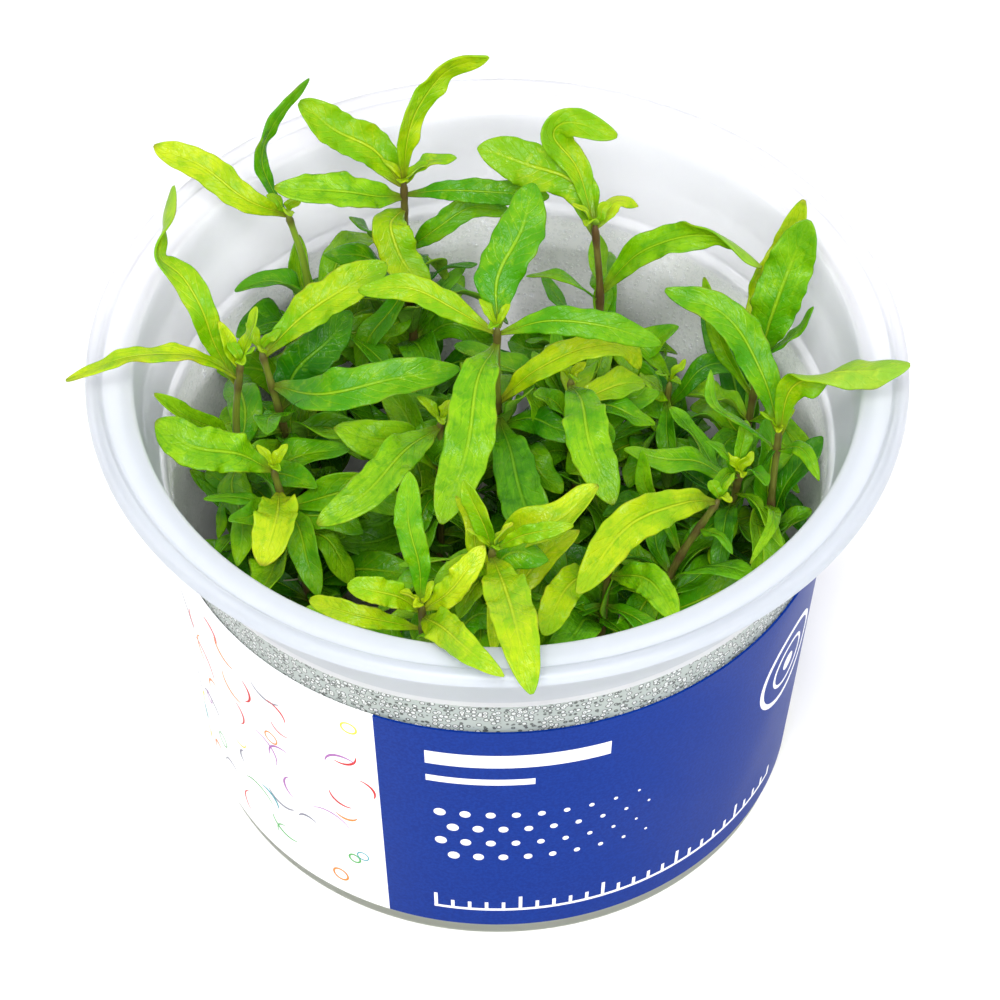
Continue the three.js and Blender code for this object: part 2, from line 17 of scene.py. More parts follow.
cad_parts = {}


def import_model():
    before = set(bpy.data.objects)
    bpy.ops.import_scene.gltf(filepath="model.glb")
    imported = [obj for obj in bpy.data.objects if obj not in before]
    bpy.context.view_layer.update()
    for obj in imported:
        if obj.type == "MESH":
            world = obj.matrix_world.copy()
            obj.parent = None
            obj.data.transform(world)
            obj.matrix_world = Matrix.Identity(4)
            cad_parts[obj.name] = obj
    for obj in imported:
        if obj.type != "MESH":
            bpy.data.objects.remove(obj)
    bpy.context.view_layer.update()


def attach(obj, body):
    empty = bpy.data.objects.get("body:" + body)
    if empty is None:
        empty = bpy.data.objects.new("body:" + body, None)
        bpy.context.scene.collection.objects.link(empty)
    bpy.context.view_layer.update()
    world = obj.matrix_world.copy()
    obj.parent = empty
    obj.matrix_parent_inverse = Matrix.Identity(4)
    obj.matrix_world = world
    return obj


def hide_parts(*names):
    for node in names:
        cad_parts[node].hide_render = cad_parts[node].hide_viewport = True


LOG = logging.getLogger("plant_in_tub")
MM = 0.001
BODY = "root"
UPWARD = (0, 0, 1)
TO_FRONT = (0, -0.55, 0.83)

Array = np.ndarray
Mesh = bmesh.types.BMesh
Material = bpy.types.Material
Piece = bpy.types.Object
Socket = bpy.types.NodeSocket
Point = tuple[float, float, float]
Colour = tuple[float, float, float]
Limits = tuple[float, float]


class Shade(Enum):
    """A leaf's age and painted shade, with the index of its upper side's material on one mesh."""

    BRIGHT = 0
    GREEN = 2
    DEEP = 4

    @property
    def slot(self) -> str:
        """The name that this shade's materials start with."""
        return f"leaf_{self.name.lower()}"


BRIGHT, GREEN, DEEP = Shade


# Layout of the shoots, in millimetres


@dataclass(frozen=True)
class LeafPlan:
    """One leaf: it starts on its stem at height `at` and runs through the points `via`.

    `face` is the way its upper side looks, and `twist` turns the blade about its length, in
    degrees, round the share `twist_at` of the length. Only a named leaf has a shade here.
    """

    at: float
    via: tuple[Point, ...]
    width: float
    face: Point = UPWARD
    twist: float = 0
    twist_at: float = 0.5
    shade: Shade | None = None


@dataclass(frozen=True)
class ShootPlan:
    """One shoot: its stem from the jelly to the tip, its named leaves and its small sprigs.

    `bare_from` is the height above which it has shed its lower leaves, and `green` runs from 0
    for a brown stem to 1 for a fresh green one.
    """

    name: str
    stem: tuple[Point, ...]
    leaves: tuple[LeafPlan, ...]
    sprigs: tuple[LeafPlan, ...]
    bare_from: float = 100
    green: float = 0.5


def leaf(shade: Shade, at: float, width: float, *via: Point, face: Point = TO_FRONT,
         twist: float = 0, twist_at: float = 0.5) -> LeafPlan:
    """A named leaf, which has a CAD node of its own."""
    return LeafPlan(at, via, width, face, twist, twist_at, shade)


def sprig(at: float, width: float, *via: Point, face: Point = UPWARD) -> LeafPlan:
    """A small listed leaf, one with its stem's node."""
    return LeafPlan(at, via, width, face)


def shoot(name: str, stem: tuple[Point, ...], *grown: LeafPlan, **traits: float) -> ShootPlan:
    """A shoot, with its named leaves told apart from its sprigs."""
    leaves = tuple(plan for plan in grown if plan.shade is not None)
    return ShootPlan(name, stem, leaves, tuple(p for p in grown if p.shade is None), **traits)


SHOOTS = (
    shoot(
        "left", ((-25, -3, 7), (-30, -2, 32), (-32, 0, 54), (-31, -2, 68.5)),
        leaf(BRIGHT, 65, 3, (-36, -2.5, 70), (-44, -4.5, 72), (-52, -5.5, 69), face=UPWARD),
        leaf(BRIGHT, 63, 3.4, (-33.8, 0, 69), (-35.3, 1, 74.5), (-38, 4, 77), (-41, 6.3, 78.2),
             (-40, 9, 80), (-39, 14.5, 82), twist=130, twist_at=0.72),
        sprig(67, 1.8, (-32.5, -0.5, 70.5), (-33.5, 0.5, 73)),
        sprig(67.5, 2.1, (-30, -0.5, 71), (-29, 1, 75)),
        sprig(51, 2.4, (-38, -3.5, 61), (-41.5, -4, 65), face=(0.6, -0.6, 0.5))),
    shoot(
        "back_left", ((-19, 17, 7), (-23, 22, 32), (-24, 25, 56), (-26, 24.7, 67)),
        leaf(BRIGHT, 66.3, 4, (-30, 24, 70), (-36, 26.3, 72.5), (-42.5, 29.5, 74)),
        leaf(GREEN, 66, 2.5, (-28, 27, 69.5), (-29, 28, 73.5), (-27.5, 29.5, 78), (-23, 33, 82),
             face=(0.8, -0.5, 0.3)),
        bare_from=50, green=1),
    shoot(
        "back", ((-8, 20, 7), (-10, 25, 32), (-11.5, 28.3, 60), (-11.6, 28.3, 69)),
        leaf(BRIGHT, 68.5, 3.3, (-11, 28.8, 74), (-9.5, 31, 79.5), (-6.5, 32.5, 84),
             (-1, 31.5, 87), face=(0.5, -0.8, 0.2)),
        leaf(GREEN, 66, 4.4, (-17, 25.5, 70), (-22, 24.5, 70.5), (-27.5, 24.7, 71.5)),
        leaf(BRIGHT, 68, 5, (-16, 30.5, 72), (-20.5, 32.5, 75), (-24.5, 33.5, 77.5)),
        leaf(BRIGHT, 64, 5, (-13.5, 24, 65.5), (-12, 21.5, 63), (-8.5, 18.5, 59)),
        leaf(GREEN, 66.5, 3.1, (-7, 27, 68.5), (0, 26.3, 69), (6.5, 27, 67.5)),
        leaf(GREEN, 57, 3, (-7.5, 26, 63), (-3, 27.5, 65), (2, 26.5, 65)),
        sprig(68.3, 2.6, (-8.5, 29.3, 71.5), (-5, 29, 72.3), face=TO_FRONT),
        green=0.2),
    shoot(
        "back_right", ((10, 14, 7), (12, 17, 32), (12.8, 20.2, 56), (12, 20.3, 69.5)),
        leaf(BRIGHT, 67, 6, (9.5, 24, 71.5), (4, 27.5, 73.5), (-2.5, 28.5, 74.5)),
        leaf(BRIGHT, 69, 3.7, (9.5, 25.5, 74), (7, 27.5, 78), (8.5, 27.5, 79.5),
             (14.7, 25.5, 79.5), face=(0.5, -0.7, 0.5)),
        leaf(GREEN, 57, 3.8, (17.5, 21, 64), (24, 20, 67.5), (28, 18.5, 68.5), (32.5, 16, 66),
             twist=120, twist_at=0.68),
        sprig(68.5, 2.7, (14.5, 23.8, 70), (17.5, 23.8, 69), face=TO_FRONT),
        sprig(56, 2, (8, 19.6, 61), (3.5, 19.2, 61.5), face=(0, 0.3, 1)),
        green=0),
    shoot(
        "centre", ((2, 2, 7), (1, 5, 32), (0, 5.4, 54), (0, 4.3, 68)),
        leaf(GREEN, 67.3, 6.2, (0.5, 8, 71.5), (2.2, 13, 75.5), (4.5, 18.5, 78.5)),
        leaf(BRIGHT, 66.5, 3.6, (-5.5, 6, 70), (-10.5, 7, 71.5), (-17, 8, 70.5)),
        leaf(GREEN, 66.5, 3.8, (6, 3.5, 70), (12.5, 2.5, 70), (20, 2.3, 67)),
        leaf(GREEN, 65, 6, (-2, -5, 68), (-4, -13, 65.5), (-6.7, -22, 61.5)),
        leaf(BRIGHT, 53, 3.4, (4.6, 4.6, 60), (11.3, 5.1, 63.5), (15.7, 5.1, 63.5),
             (17.5, 4.6, 60)),
        leaf(DEEP, 51, 5.6, (2, -7.5, 54.5), (5, -15.5, 53.5), (7.8, -21.4, 48.5))),
    shoot(
        "centre_right", ((10, 7, 7), (10, 7, 32), (9, 5, 58)),
        leaf(GREEN, 57, 5.6, (10, -2.5, 61), (12, -9.5, 60.5), (14, -15, 57))),
    shoot(
        "right_back", ((25, 9, 7), (30, 10, 32), (32.5, 10, 57)),
        leaf(BRIGHT, 55, 4, (33, 16.5, 60.5), (35.5, 19.5, 66), (37.7, 22, 72),
             face=(-0.3, -0.9, 0.3)),
        leaf(GREEN, 56, 6, (34, 11, 64), (36, 14, 69.5), (38, 15.5, 75), face=(-0.2, -0.9, 0.3)),
        sprig(56.5, 2, (36.5, 11, 59.5), (38.8, 12, 63.5)),
        sprig(49, 2.2, (27.5, 14, 56), (25.5, 17, 63.5), face=(0, -1, 0.2))),
    shoot(
        "right", ((30, -9, 7), (33, -6, 32), (34, -3.5, 50), (34.4, -3, 57.5)),
        leaf(BRIGHT, 56, 4.3, (36, -2, 64), (40.5, -3.5, 67.8), (45, -5.2, 70), (49.6, -5.7, 71.8),
             twist=150),
        leaf(GREEN, 56.8, 4.6, (32.6, 1, 63), (27.7, 5.7, 68), (20.4, 8.7, 70)),
        sprig(54, 2.2, (30, -2.8, 58.5), (26.5, -1.8, 60.5), (26, 1.5, 63.5)),
        sprig(54, 2.2, (37.5, -7.5, 58.5), (39, -11.5, 57.5)),
        sprig(45, 2, (33.3, -13.5, 53), (30.5, -20, 52))),
    shoot(
        "right_inner", ((26, 0, 7), (28, -1, 32), (29.7, -5.2, 52)),
        sprig(51, 2, (27.5, -8, 54.5), (26, -11, 55)),
        sprig(51, 2, (27.5, -4, 55), (25.5, -3.5, 56)),
        sprig(51.2, 2, (30, -2.5, 55), (30.5, -0.5, 56.5)),
        sprig(51.4, 2, (32, -7, 54), (32.8, -9.5, 54.5))),
    shoot(
        "right_front", ((15, -11, 7), (18, -14, 30), (22, -13.5, 45), (27, -11.2, 54)),
        leaf(BRIGHT, 53.5, 5, (22.5, -15.5, 58.5), (16.5, -20, 59.5), (9.5, -29.5, 57.5)),
        sprig(46, 2.3, (19, -10.5, 53), (17.5, -8.6, 60), face=(0, -1, 0.2)),
        sprig(50, 2, (27, -15.5, 52), (28.5, -18, 51.5))),
    shoot(
        "front_right", ((8, -18, 7), (12, -21, 32), (13.5, -20, 52)),
        leaf(BRIGHT, 51, 4, (9, -25, 54.5), (5.5, -32.5, 53.5)),
        leaf(GREEN, 50, 4, (18.5, -25, 54.5), (21.4, -31, 54.5))),
    shoot(
        "front", ((-6, -25, 7), (-8, -31, 32), (-8.8, -34.3, 54), (-8.9, -35, 62)),
        leaf(GREEN, 61.3, 3.4, (-9.8, -32.5, 69.5), (-10.3, -28, 77.5), face=(0, -0.8, 0.6)),
        leaf(BRIGHT, 60.5, 3.2, (-13.8, -35.5, 65), (-17.6, -35.2, 65.5)),
        leaf(BRIGHT, 60.5, 3.5, (-4.5, -35, 66), (-1.5, -32, 69)),
        leaf(BRIGHT, 59.5, 4.3, (-6.3, -43, 67), (-3, -48.5, 69), (0.8, -51.5, 68.3)),
        leaf(BRIGHT, 57, 2.6, (-16.5, -36.3, 61.5), (-22.3, -32.5, 60))),
    shoot(
        "front_centre", ((1, -15, 7), (0, -21, 32), (-0.6, -25.8, 54), (-0.6, -27, 63)),
        leaf(BRIGHT, 62.2, 2.2, (4.5, -27.6, 66.5), (9, -27.5, 67.5)),
        leaf(BRIGHT, 61.3, 5.4, (1, -38, 68), (2.5, -47, 70), (4, -53.5, 67.5)),
        sprig(62.3, 2.6, (-2, -26, 67.5), (-4, -24, 71.5), face=(0, -0.8, 0.6))),
    shoot(
        "left_front", ((-18, -9, 7), (-23, -9, 32), (-27.3, -8, 56)),
        leaf(GREEN, 55.6, 5.6, (-32.3, -10, 60.5), (-37.7, -9.5, 63), (-41.3, -7, 63.5)),
        leaf(BRIGHT, 52, 5, (-26.7, -17.5, 57), (-28.2, -23.3, 55.5))),
    shoot(
        "centre_left", ((-6, -5, 7), (-7, -4, 32), (-7, -1, 57)),
        leaf(GREEN, 56, 4.8, (-12, -10.5, 60.5), (-16.5, -16.5, 60.5), (-21.7, -19, 58))),
    shoot("inner_back", ((18, 8, 7), (20, 11, 32), (21.5, 12, 50))),
    shoot(
        "left_back", ((-18, 6, 7), (-24, 7, 32), (-27.5, 6, 54), (-29, 7, 61)),
        leaf(BRIGHT, 60, 5, (-24, 9.3, 64.5), (-18.5, 11.5, 67.3), (-13.5, 14.5, 68.5)),
        leaf(DEEP, 51, 5.6, (-23, 9.5, 57.5), (-18, 14.5, 60)),
        leaf(GREEN, 55.5, 5.2, (-20.5, -0.5, 61.5), (-12, 0.5, 62.5), (-4.5, 3, 62))),
)


@dataclass(frozen=True)
class TubSizes:
    """Driving dimensions of the tub, the label and the jelly, in millimetres."""

    height: float = 66
    rim_radius: float = 50
    base_radius: float = 36.7
    taper_top_radius: float = 41.5
    taper_top: float = 51
    base_corner: float = 1.7
    wall: float = 0.8
    floor: float = 1.2
    sealing_face: float = 65.3
    mouth_radius: float = 44.2
    mouth_edge: float = 64.4
    seat_foot: float = 52.6
    seat_bend: float = 58
    seat_foot_radius: float = 41.5
    seat_bend_radius: float = 43.3
    label_bottom: float = 3.3
    label_top: float = 45.6
    label_thickness: float = 0.3
    label_gap_at_back: float = 0.12
    jelly_top: float = 9
    gap: float = 0.35

    def taper_radius(self, z: float) -> float:
        """Radius of the taper's outer face at a height."""
        share = (z - self.base_corner) / (self.taper_top - self.base_corner)
        return self.base_radius + (self.taper_top_radius - self.base_radius) * share

    def inner_radius(self, z: float) -> float:
        """Radius of the inner face at a height, from the floor to the mouth.

        Args:
            z: The height, from the floor to the mouth.

        Returns:
            The radius.
        """
        if z <= self.seat_foot:
            return self.taper_radius(z) - self.wall
        foot, bend = self.seat_foot_radius, self.seat_bend_radius
        if z <= self.seat_bend:
            return foot + (z - self.seat_foot) / (self.seat_bend - self.seat_foot) * (bend - foot)
        share = (z - self.seat_bend) / (self.mouth_edge - self.seat_bend)
        return bend + share * (self.mouth_radius - bend)


SIZES = TubSizes()


class Spine:
    """A smooth curve through points, measured along its length, in millimetres."""

    DIVISIONS = 200
    TANGENT_STEP = 1e-4
    HALVINGS = 24

    def __init__(self, points: list) -> None:
        """Fit a centripetal curve through the points.

        Args:
            points: The points that the curve runs through.
        """
        self.points = np.array(points, float)
        steps = self.position(np.linspace(0, 1, self.DIVISIONS + 1))
        reach = np.linalg.norm(np.diff(steps, axis=0), axis=1)
        self.lengths = np.concatenate([[0.0], np.cumsum(reach)])

    def position(self, t: Array) -> Array:
        """Points at the curve's own parameter.

        Args:
            t: Parameters from 0 to 1.

        Returns:
            One row of x, y and z for each parameter.
        """
        points = self.points
        count = len(points)
        place = (count - 1) * np.asarray(t, float)
        index = np.minimum(np.floor(place).astype(int), count - 2)
        weight = (place - index)[:, None]
        padded = np.vstack([points[0] * 2 - points[1], points, points[-1] * 2 - points[-2]])
        p0, p1, p2, p3 = (padded[index + shift] for shift in range(4))
        d0, d1, d2 = (
            np.sum((b - a) ** 2, axis=1)[:, None] ** 0.25
            for a, b in ((p0, p1), (p1, p2), (p2, p3)))
        start = ((p1 - p0) / d0 - (p2 - p0) / (d0 + d1) + (p2 - p1) / d1) * d1
        end = ((p2 - p1) / d1 - (p3 - p1) / (d1 + d2) + (p3 - p2) / d2) * d1
        square = -3 * p1 + 3 * p2 - 2 * start - end
        cube = 2 * p1 - 2 * p2 + start + end
        return p1 + start * weight + square * weight**2 + cube * weight**3

    def parameter(self, share: Array) -> Array:
        """The curve's own parameter at shares of its length."""
        target = np.asarray(share, float) * self.lengths[-1]
        return np.interp(target, self.lengths, np.linspace(0, 1, self.DIVISIONS + 1))

    def at(self, share: Array) -> Array:
        """Points at shares of the curve's length."""
        return self.position(self.parameter(share))

    def along(self, share: Array) -> Array:
        """Unit directions at shares of the curve's length.

        Args:
            share: Shares of the length from 0 to 1.

        Returns:
            One unit direction for each share.
        """
        t = self.parameter(share)
        ahead = self.position(np.minimum(t + self.TANGENT_STEP, 1))
        step = ahead - self.position(np.maximum(t - self.TANGENT_STEP, 0))
        return step / np.linalg.norm(step, axis=1)[:, None]

    def at_height(self, height: float) -> Array:
        """The point of an upright curve at a height, found by halving.

        Args:
            height: The height.

        Returns:
            The point just below it.
        """
        low, high = 0.0, 1.0
        for _ in range(self.HALVINGS):
            middle = (low + high) / 2
            if self.at([middle])[0][2] < height:
                low = middle
            else:
                high = middle
        return self.at([low])[0]


def spine_from(stem: Spine, at: float, via: list, start_distance: float) -> Spine:
    """A leaf's spine.

    Args:
        stem: The stem that the leaf grows from.
        at: The height at which it starts.
        via: The points that it runs through.
        start_distance: How far from the stem's middle it starts.

    Returns:
        The curve from the stem to the leaf's tip.
    """
    root = stem.at_height(at)
    first = np.array(via[0], float) - root
    return Spine([root + first / np.linalg.norm(first) * start_distance, *via])


class Stream:
    """A repeatable stream of numbers from 0 to 1."""

    FACTOR = 16807
    MODULUS = 2147483647

    def __init__(self, seed: int) -> None:
        """Start the stream at a seed."""
        self.state = seed

    def next(self) -> float:
        """The next number from 0 to 1."""
        self.state = (self.state * self.FACTOR) % self.MODULUS
        return self.state / self.MODULUS

    def between(self, low: float, high: float) -> float:
        """The next number between two limits."""
        return low + (high - low) * self.next()


def covering(spine: Spine, radii: Array) -> Array:
    """Balls along a spine that stand for a blade or a stem.

    Args:
        spine: The curve that they follow.
        radii: Their radii, one for each ball.

    Returns:
        Rows of x, y, z and radius.
    """
    shares = (np.arange(len(radii)) + 0.5) / len(radii)
    return np.column_stack([spine.at(shares), radii])


def cover_blade(spine: Spine, width: float, count: int = 9) -> Array:
    """Balls along a blade of the frame's outline.

    Args:
        spine: The blade's curve.
        width: Its full width.
        count: The number of balls.

    Returns:
        Rows of x, y, z and radius.
    """
    share = (np.arange(count) + 0.5) / count
    belly = np.maximum(np.sin(np.pi * np.power(share, 0.85)), 0)
    least = np.where(share < 0.5, 0.16, 0.14)
    return covering(spine, width / 2 * np.maximum(least, np.power(belly, 0.8)))


@dataclass(frozen=True)
class Grown:
    """A leaf with its curve, its width and the height at which it starts."""

    spine: Spine
    width: float
    height: float
    face: Point = UPWARD


@dataclass(frozen=True)
class PairRule:
    """How small leaves grow in opposite pairs up a stem, in millimetres and degrees.

    `room` is the share of the full clearance that they keep from one another.
    """

    seed: int
    first: float
    spacing: float
    length: Limits
    width: Limits
    rise: Limits
    droop: Limits
    below_named: float
    tries: int
    shortening: float
    room: float = 1.0
    scatter: float = 0.0


LOWER_PAIRS = PairRule(
    seed=4711, first=28, spacing=7, length=(14, 20), width=(4.4, 6), rise=(10, 50),
    droop=(20, 60), below_named=1.5, tries=90, shortening=0.45,
)
FILLING_PAIRS = PairRule(
    seed=1234, first=22, spacing=2.1, length=(8, 16), width=(2.2, 4.6), rise=(-5, 70),
    droop=(0, 80), below_named=2.5, tries=36, shortening=0.5, room=0.42, scatter=80,
)


@dataclass
class Room:
    """The tub's inside, with a space at the right that the lower leaves leave open."""

    sizes: TubSizes
    open_low: Point = (16, 24, 51)
    open_high: Point = (26, 31, 66)

    def free(self, balls: Array, taken: Array, room: float) -> bool:
        """Whether balls have room of their own.

        Args:
            balls: Rows of x, y, z and radius.
            taken: The balls that they must stay clear of.
            room: The share of the full clearance that is asked for.

        Returns:
            True if they are inside the tub, outside the open space and clear of the others.
        """
        s = self.sizes
        centres, radii = balls[:, :3], balls[:, 3]
        reach = np.hypot(balls[:, 0], balls[:, 1]) + radii + s.gap
        limit = np.array([s.inner_radius(z) for z in balls[:, 2]])
        if np.any(reach >= limit) or np.any(balls[:, 2] - radii <= s.jelly_top + s.gap):
            return False
        if room == 1.0:
            nearest = np.clip(centres, self.open_low, self.open_high)
            if np.any(np.linalg.norm(nearest - centres, axis=1) <= radii + s.gap):
                return False
        apart = np.linalg.norm(taken[None, :, :3] - balls[:, None, :3], axis=2)
        return bool(np.all(apart > (taken[None, :, 3] + balls[:, None, 3]) * room + s.gap * room))


@dataclass
class Shoot:
    """A shoot with its curves worked out."""

    plan: ShootPlan
    stem: Spine
    leaves: list[Grown]
    sprigs: list[Grown]
    pairs: list[Grown]
    fillers: list[Grown]
    own_room: Array

    @property
    def by_hand(self) -> list[Grown]:
        """The leaves that are listed in the layout."""
        return self.leaves + self.sprigs


class Growth:
    """Finds the curves of every leaf by the same rule as the solids."""

    STEM_RADIUS = 0.85
    STEM_BALLS = 30
    STALK_BALLS = 2
    SEARCH_MARGIN = 8
    TURN_STEP = 3
    RISE_STEP, RISE_RANGE, RISE_BELOW = 17, 40, 15
    QUARTER_TURN = 90
    HEADING_STEP = 47.0

    def __init__(self, sizes: TubSizes) -> None:
        """Work out the stems and the listed leaves.

        Args:
            sizes: The tub that everything grows in.
        """
        self.sizes = sizes
        self.room = Room(sizes)
        self.shoots = [self._prepared(plan) for plan in SHOOTS]

    def _prepared(self, plan: ShootPlan) -> Shoot:
        """Curves of one planned shoot.

        Args:
            plan: The shoot's layout.

        Returns:
            The shoot, with no small leaves grown by rule yet.
        """
        stem = Spine(plan.stem)

        def grown(leaves: tuple[LeafPlan, ...], distance: float) -> list[Grown]:
            """The leaves with their curves, which start at a distance from the stem's middle."""
            curves = [spine_from(stem, p.at, p.via, distance) for p in leaves]
            return [Grown(c, p.width, p.at, p.face) for c, p in zip(curves, leaves)]

        return Shoot(
            plan=plan, stem=stem, sprigs=grown(plan.sprigs, 0), pairs=[], fillers=[],
            leaves=grown(plan.leaves, self.STEM_RADIUS + 2 * self.sizes.gap),
            own_room=covering(stem, np.full(self.STEM_BALLS, self.STEM_RADIUS)),
        )

    def _pair_leaf(
        self, stem: Spine, height: float, heading: float, rule: PairRule, taken: Array,
        draw: Stream,
    ) -> tuple[Grown, Array] | None:
        """One leaf of a pair: it turns, rises and shortens until it has room.

        Args:
            stem: The stem that it grows from.
            height: The height at which it starts.
            heading: The way that it first points, in degrees.
            rule: Its sizes and how far it may search.
            taken: Balls that are taken.
            draw: The stream of its own variation.

        Returns:
            The leaf and its balls past the stalk, or None where there is no room.
        """
        length, width = draw.between(*rule.length), draw.between(*rule.width)
        rise, droop = draw.between(*rule.rise), draw.between(*rule.droop)
        root = stem.at_height(height)
        near = taken[np.linalg.norm(taken[:, :3] - root, axis=1) < length + self.SEARCH_MARGIN]
        for attempt in range(rule.tries):
            side = 1 if attempt % 2 else -1
            azimuth = math.radians(heading + side * attempt * self.TURN_STEP)
            jump = (attempt * self.RISE_STEP) % self.RISE_RANGE - self.RISE_BELOW
            slope = math.radians(rise + jump)
            reach = length * (1 - rule.shortening * (attempt / rule.tries))

            def step(origin: Array, angle: float) -> Array:
                """The point half a reach further on, at a slope."""
                flat = math.cos(angle)
                way = (math.cos(azimuth) * flat, math.sin(azimuth) * flat, math.sin(angle))
                return origin + np.array(way) * (reach * 0.5)

            middle = step(root, slope)
            tip = step(middle, slope - math.radians(droop))
            blade = width * (reach / length)
            balls = cover_blade(Spine([root, middle, tip]), blade)[self.STALK_BALLS:]
            if self.room.free(balls, near, rule.room):
                return Grown(spine_from(stem, height, [middle, tip], 0), blade, height), balls
        return None

    def grow(self, rule: PairRule, into: str, taken: Array | None = None) -> Array:
        """Grow pairs up every stem by one rule.

        Args:
            rule: The rule of the pairs.
            into: The list of each shoot that takes the leaves.
            taken: Balls already taken beside the listed leaves and the stems.

        Returns:
            The balls of the leaves that grew.
        """
        draw = Stream(rule.seed)
        by_hand = np.vstack([cover_blade(g.spine, g.width) for s in self.shoots for g in s.by_hand])
        grown = np.empty((0, 4)) if taken is None else taken
        for index, shoot in enumerate(self.shoots):
            others = [other.own_room for other in self.shoots if other is not shoot]
            known = np.vstack([by_hand, *others, grown])
            fresh = np.empty((0, 4))
            stem_top = shoot.plan.stem[-1][2]
            top = min([stem_top] + [g.height for g in shoot.by_hand])
            heading = index * self.HEADING_STEP
            height = rule.first
            while height < top - rule.below_named and height < stem_top - 1:
                for side in (0, 180):
                    turn = draw.between(-rule.scatter, rule.scatter) if rule.scatter else 0
                    found = self._pair_leaf(
                        shoot.stem, height, heading + side + turn, rule,
                        np.vstack([known, fresh]), draw)
                    if found:
                        if height < shoot.plan.bare_from:
                            getattr(shoot, into).append(found[0])
                        fresh = np.vstack([fresh, found[1]])
                heading += self.QUARTER_TURN
                height += rule.spacing
            grown = np.vstack([grown, fresh])
        return grown


class Graph:
    """A material's node tree, with short calls that add and join nodes."""

    def __init__(self, name: str) -> None:
        """Start a material with one shader on its output.

        Args:
            name: The material's name.
        """
        self.material = bpy.data.materials.new(name)
        self.material.use_nodes = True
        self.tree = self.material.node_tree
        self.tree.nodes.clear()
        self.shader = self.tree.nodes.new("ShaderNodeBsdfPrincipled")
        output = self.tree.nodes.new("ShaderNodeOutputMaterial")
        self.tree.links.new(self.shader.outputs[0], output.inputs["Surface"])

    def put(self, socket: Socket, value: object) -> None:
        """Set a socket to a number or colour, or join it to another node's output.

        Args:
            socket: The socket.
            value: A number, a colour or an output.
        """
        if isinstance(value, bpy.types.NodeSocket):
            self.tree.links.new(value, socket)
        elif isinstance(value, tuple) and len(value) < len(socket.default_value):
            socket.default_value = (*value, 1)
        else:
            socket.default_value = value

    def add(self, kind: str, settings: dict | None = None, **inputs: object) -> bpy.types.Node:
        """Add a node.

        Args:
            kind: Its type, without the ShaderNode in front.
            settings: Values of its own properties.
            **inputs: Values of its sockets, with underscores for spaces.

        Returns:
            The node.
        """
        node = self.tree.nodes.new(f"ShaderNode{kind}")
        for key, value in (settings or {}).items():
            setattr(node, key, value)
        for key, value in inputs.items():
            self.put(node.inputs[key.replace("_", " ")], value)
        return node

    def math(self, operation: str, a: object, b: object = 0.0, clamp: bool = False) -> Socket:
        """The result of a sum on one or two values.

        Args:
            operation: Its name in Blender.
            a: The first value.
            b: The second value.
            clamp: Whether the result stays from 0 to 1.

        Returns:
            The result.
        """
        node = self.add("Math", {"operation": operation, "use_clamp": clamp})
        self.put(node.inputs[0], a)
        self.put(node.inputs[1], b)
        return node.outputs[0]

    def times(self, product: object, *values: object) -> Socket:
        """Several values multiplied.

        Args:
            product: The first value.
            *values: The others.

        Returns:
            Their product.
        """
        for value in values:
            product = self.math("MULTIPLY", product, value)
        return product

    def plus(self, a: object, b: object) -> Socket:
        """Two values added."""
        return self.math("ADD", a, b)

    def less(self, a: object, b: object) -> Socket:
        """The second value taken from the first."""
        return self.math("SUBTRACT", a, b)

    def span(self, value: object, low: float, high: float, out_low: float = 0,
             out_high: float = 1) -> Socket:
        """A value's place between two limits, eased at both, on a new scale.

        Args:
            value: The value.
            low: The lower limit.
            high: The upper limit.
            out_low: The result at the lower limit and below it.
            out_high: The result at the upper limit and above it.

        Returns:
            The result.
        """
        node = self.add("MapRange", {"interpolation_type": "SMOOTHSTEP"}, Value=value)
        limits = {"From Min": low, "From Max": high, "To Min": out_low, "To Max": out_high}
        for key, number in limits.items():
            node.inputs[key].default_value = number
        return node.outputs[0]

    def mix(self, share: object, a: object, b: object) -> Socket:
        """Two colours mixed by a share.

        Args:
            share: The share of the second one.
            a: The first colour.
            b: The second colour.

        Returns:
            The mixed colour.
        """
        node = self.add("Mix", {"data_type": "RGBA"})
        for index, value in ((0, share), (6, a), (7, b)):
            self.put(node.inputs[index], value)
        return node.outputs[2]

    def place(self, scale: Point = (1, 1, 1)) -> Socket:
        """Object coordinates in metres, stretched by a scale."""
        coordinates = self.add("TexCoord").outputs["Object"]
        return self.add("Mapping", Vector=coordinates, Scale=scale).outputs[0]

    def noise(self, place: object, scale: float, detail: float = 3,
              roughness: float = 0.5) -> Socket:
        """Cloudy variation from 0 to 1; the scale is in patches per metre."""
        return self.add(
            "TexNoise", Vector=place, Scale=scale, Detail=detail, Roughness=roughness).outputs[0]

    def attribute(self, name: str) -> Socket:
        """A number that the mesh carries."""
        return self.add("Attribute", {"attribute_name": name}).outputs["Fac"]

    def bump(self, height: object, distance: float, strength: float, invert: bool = False) -> None:
        """Give the shader a bump of a height from 0 to 1, in metres.

        Args:
            height: The height.
            distance: How far a height of 1 rises.
            strength: How strongly it shows.
            invert: Whether it sinks instead.
        """
        node = self.add(
            "Bump", {"invert": invert}, Height=height, Distance=distance, Strength=strength)
        self.put(self.shader.inputs["Normal"], node.outputs[0])

    def set(self, **inputs: object) -> None:
        """Set or join the shader's own sockets."""
        for key, value in inputs.items():
            self.put(self.shader.inputs[key.replace("_", " ")], value)


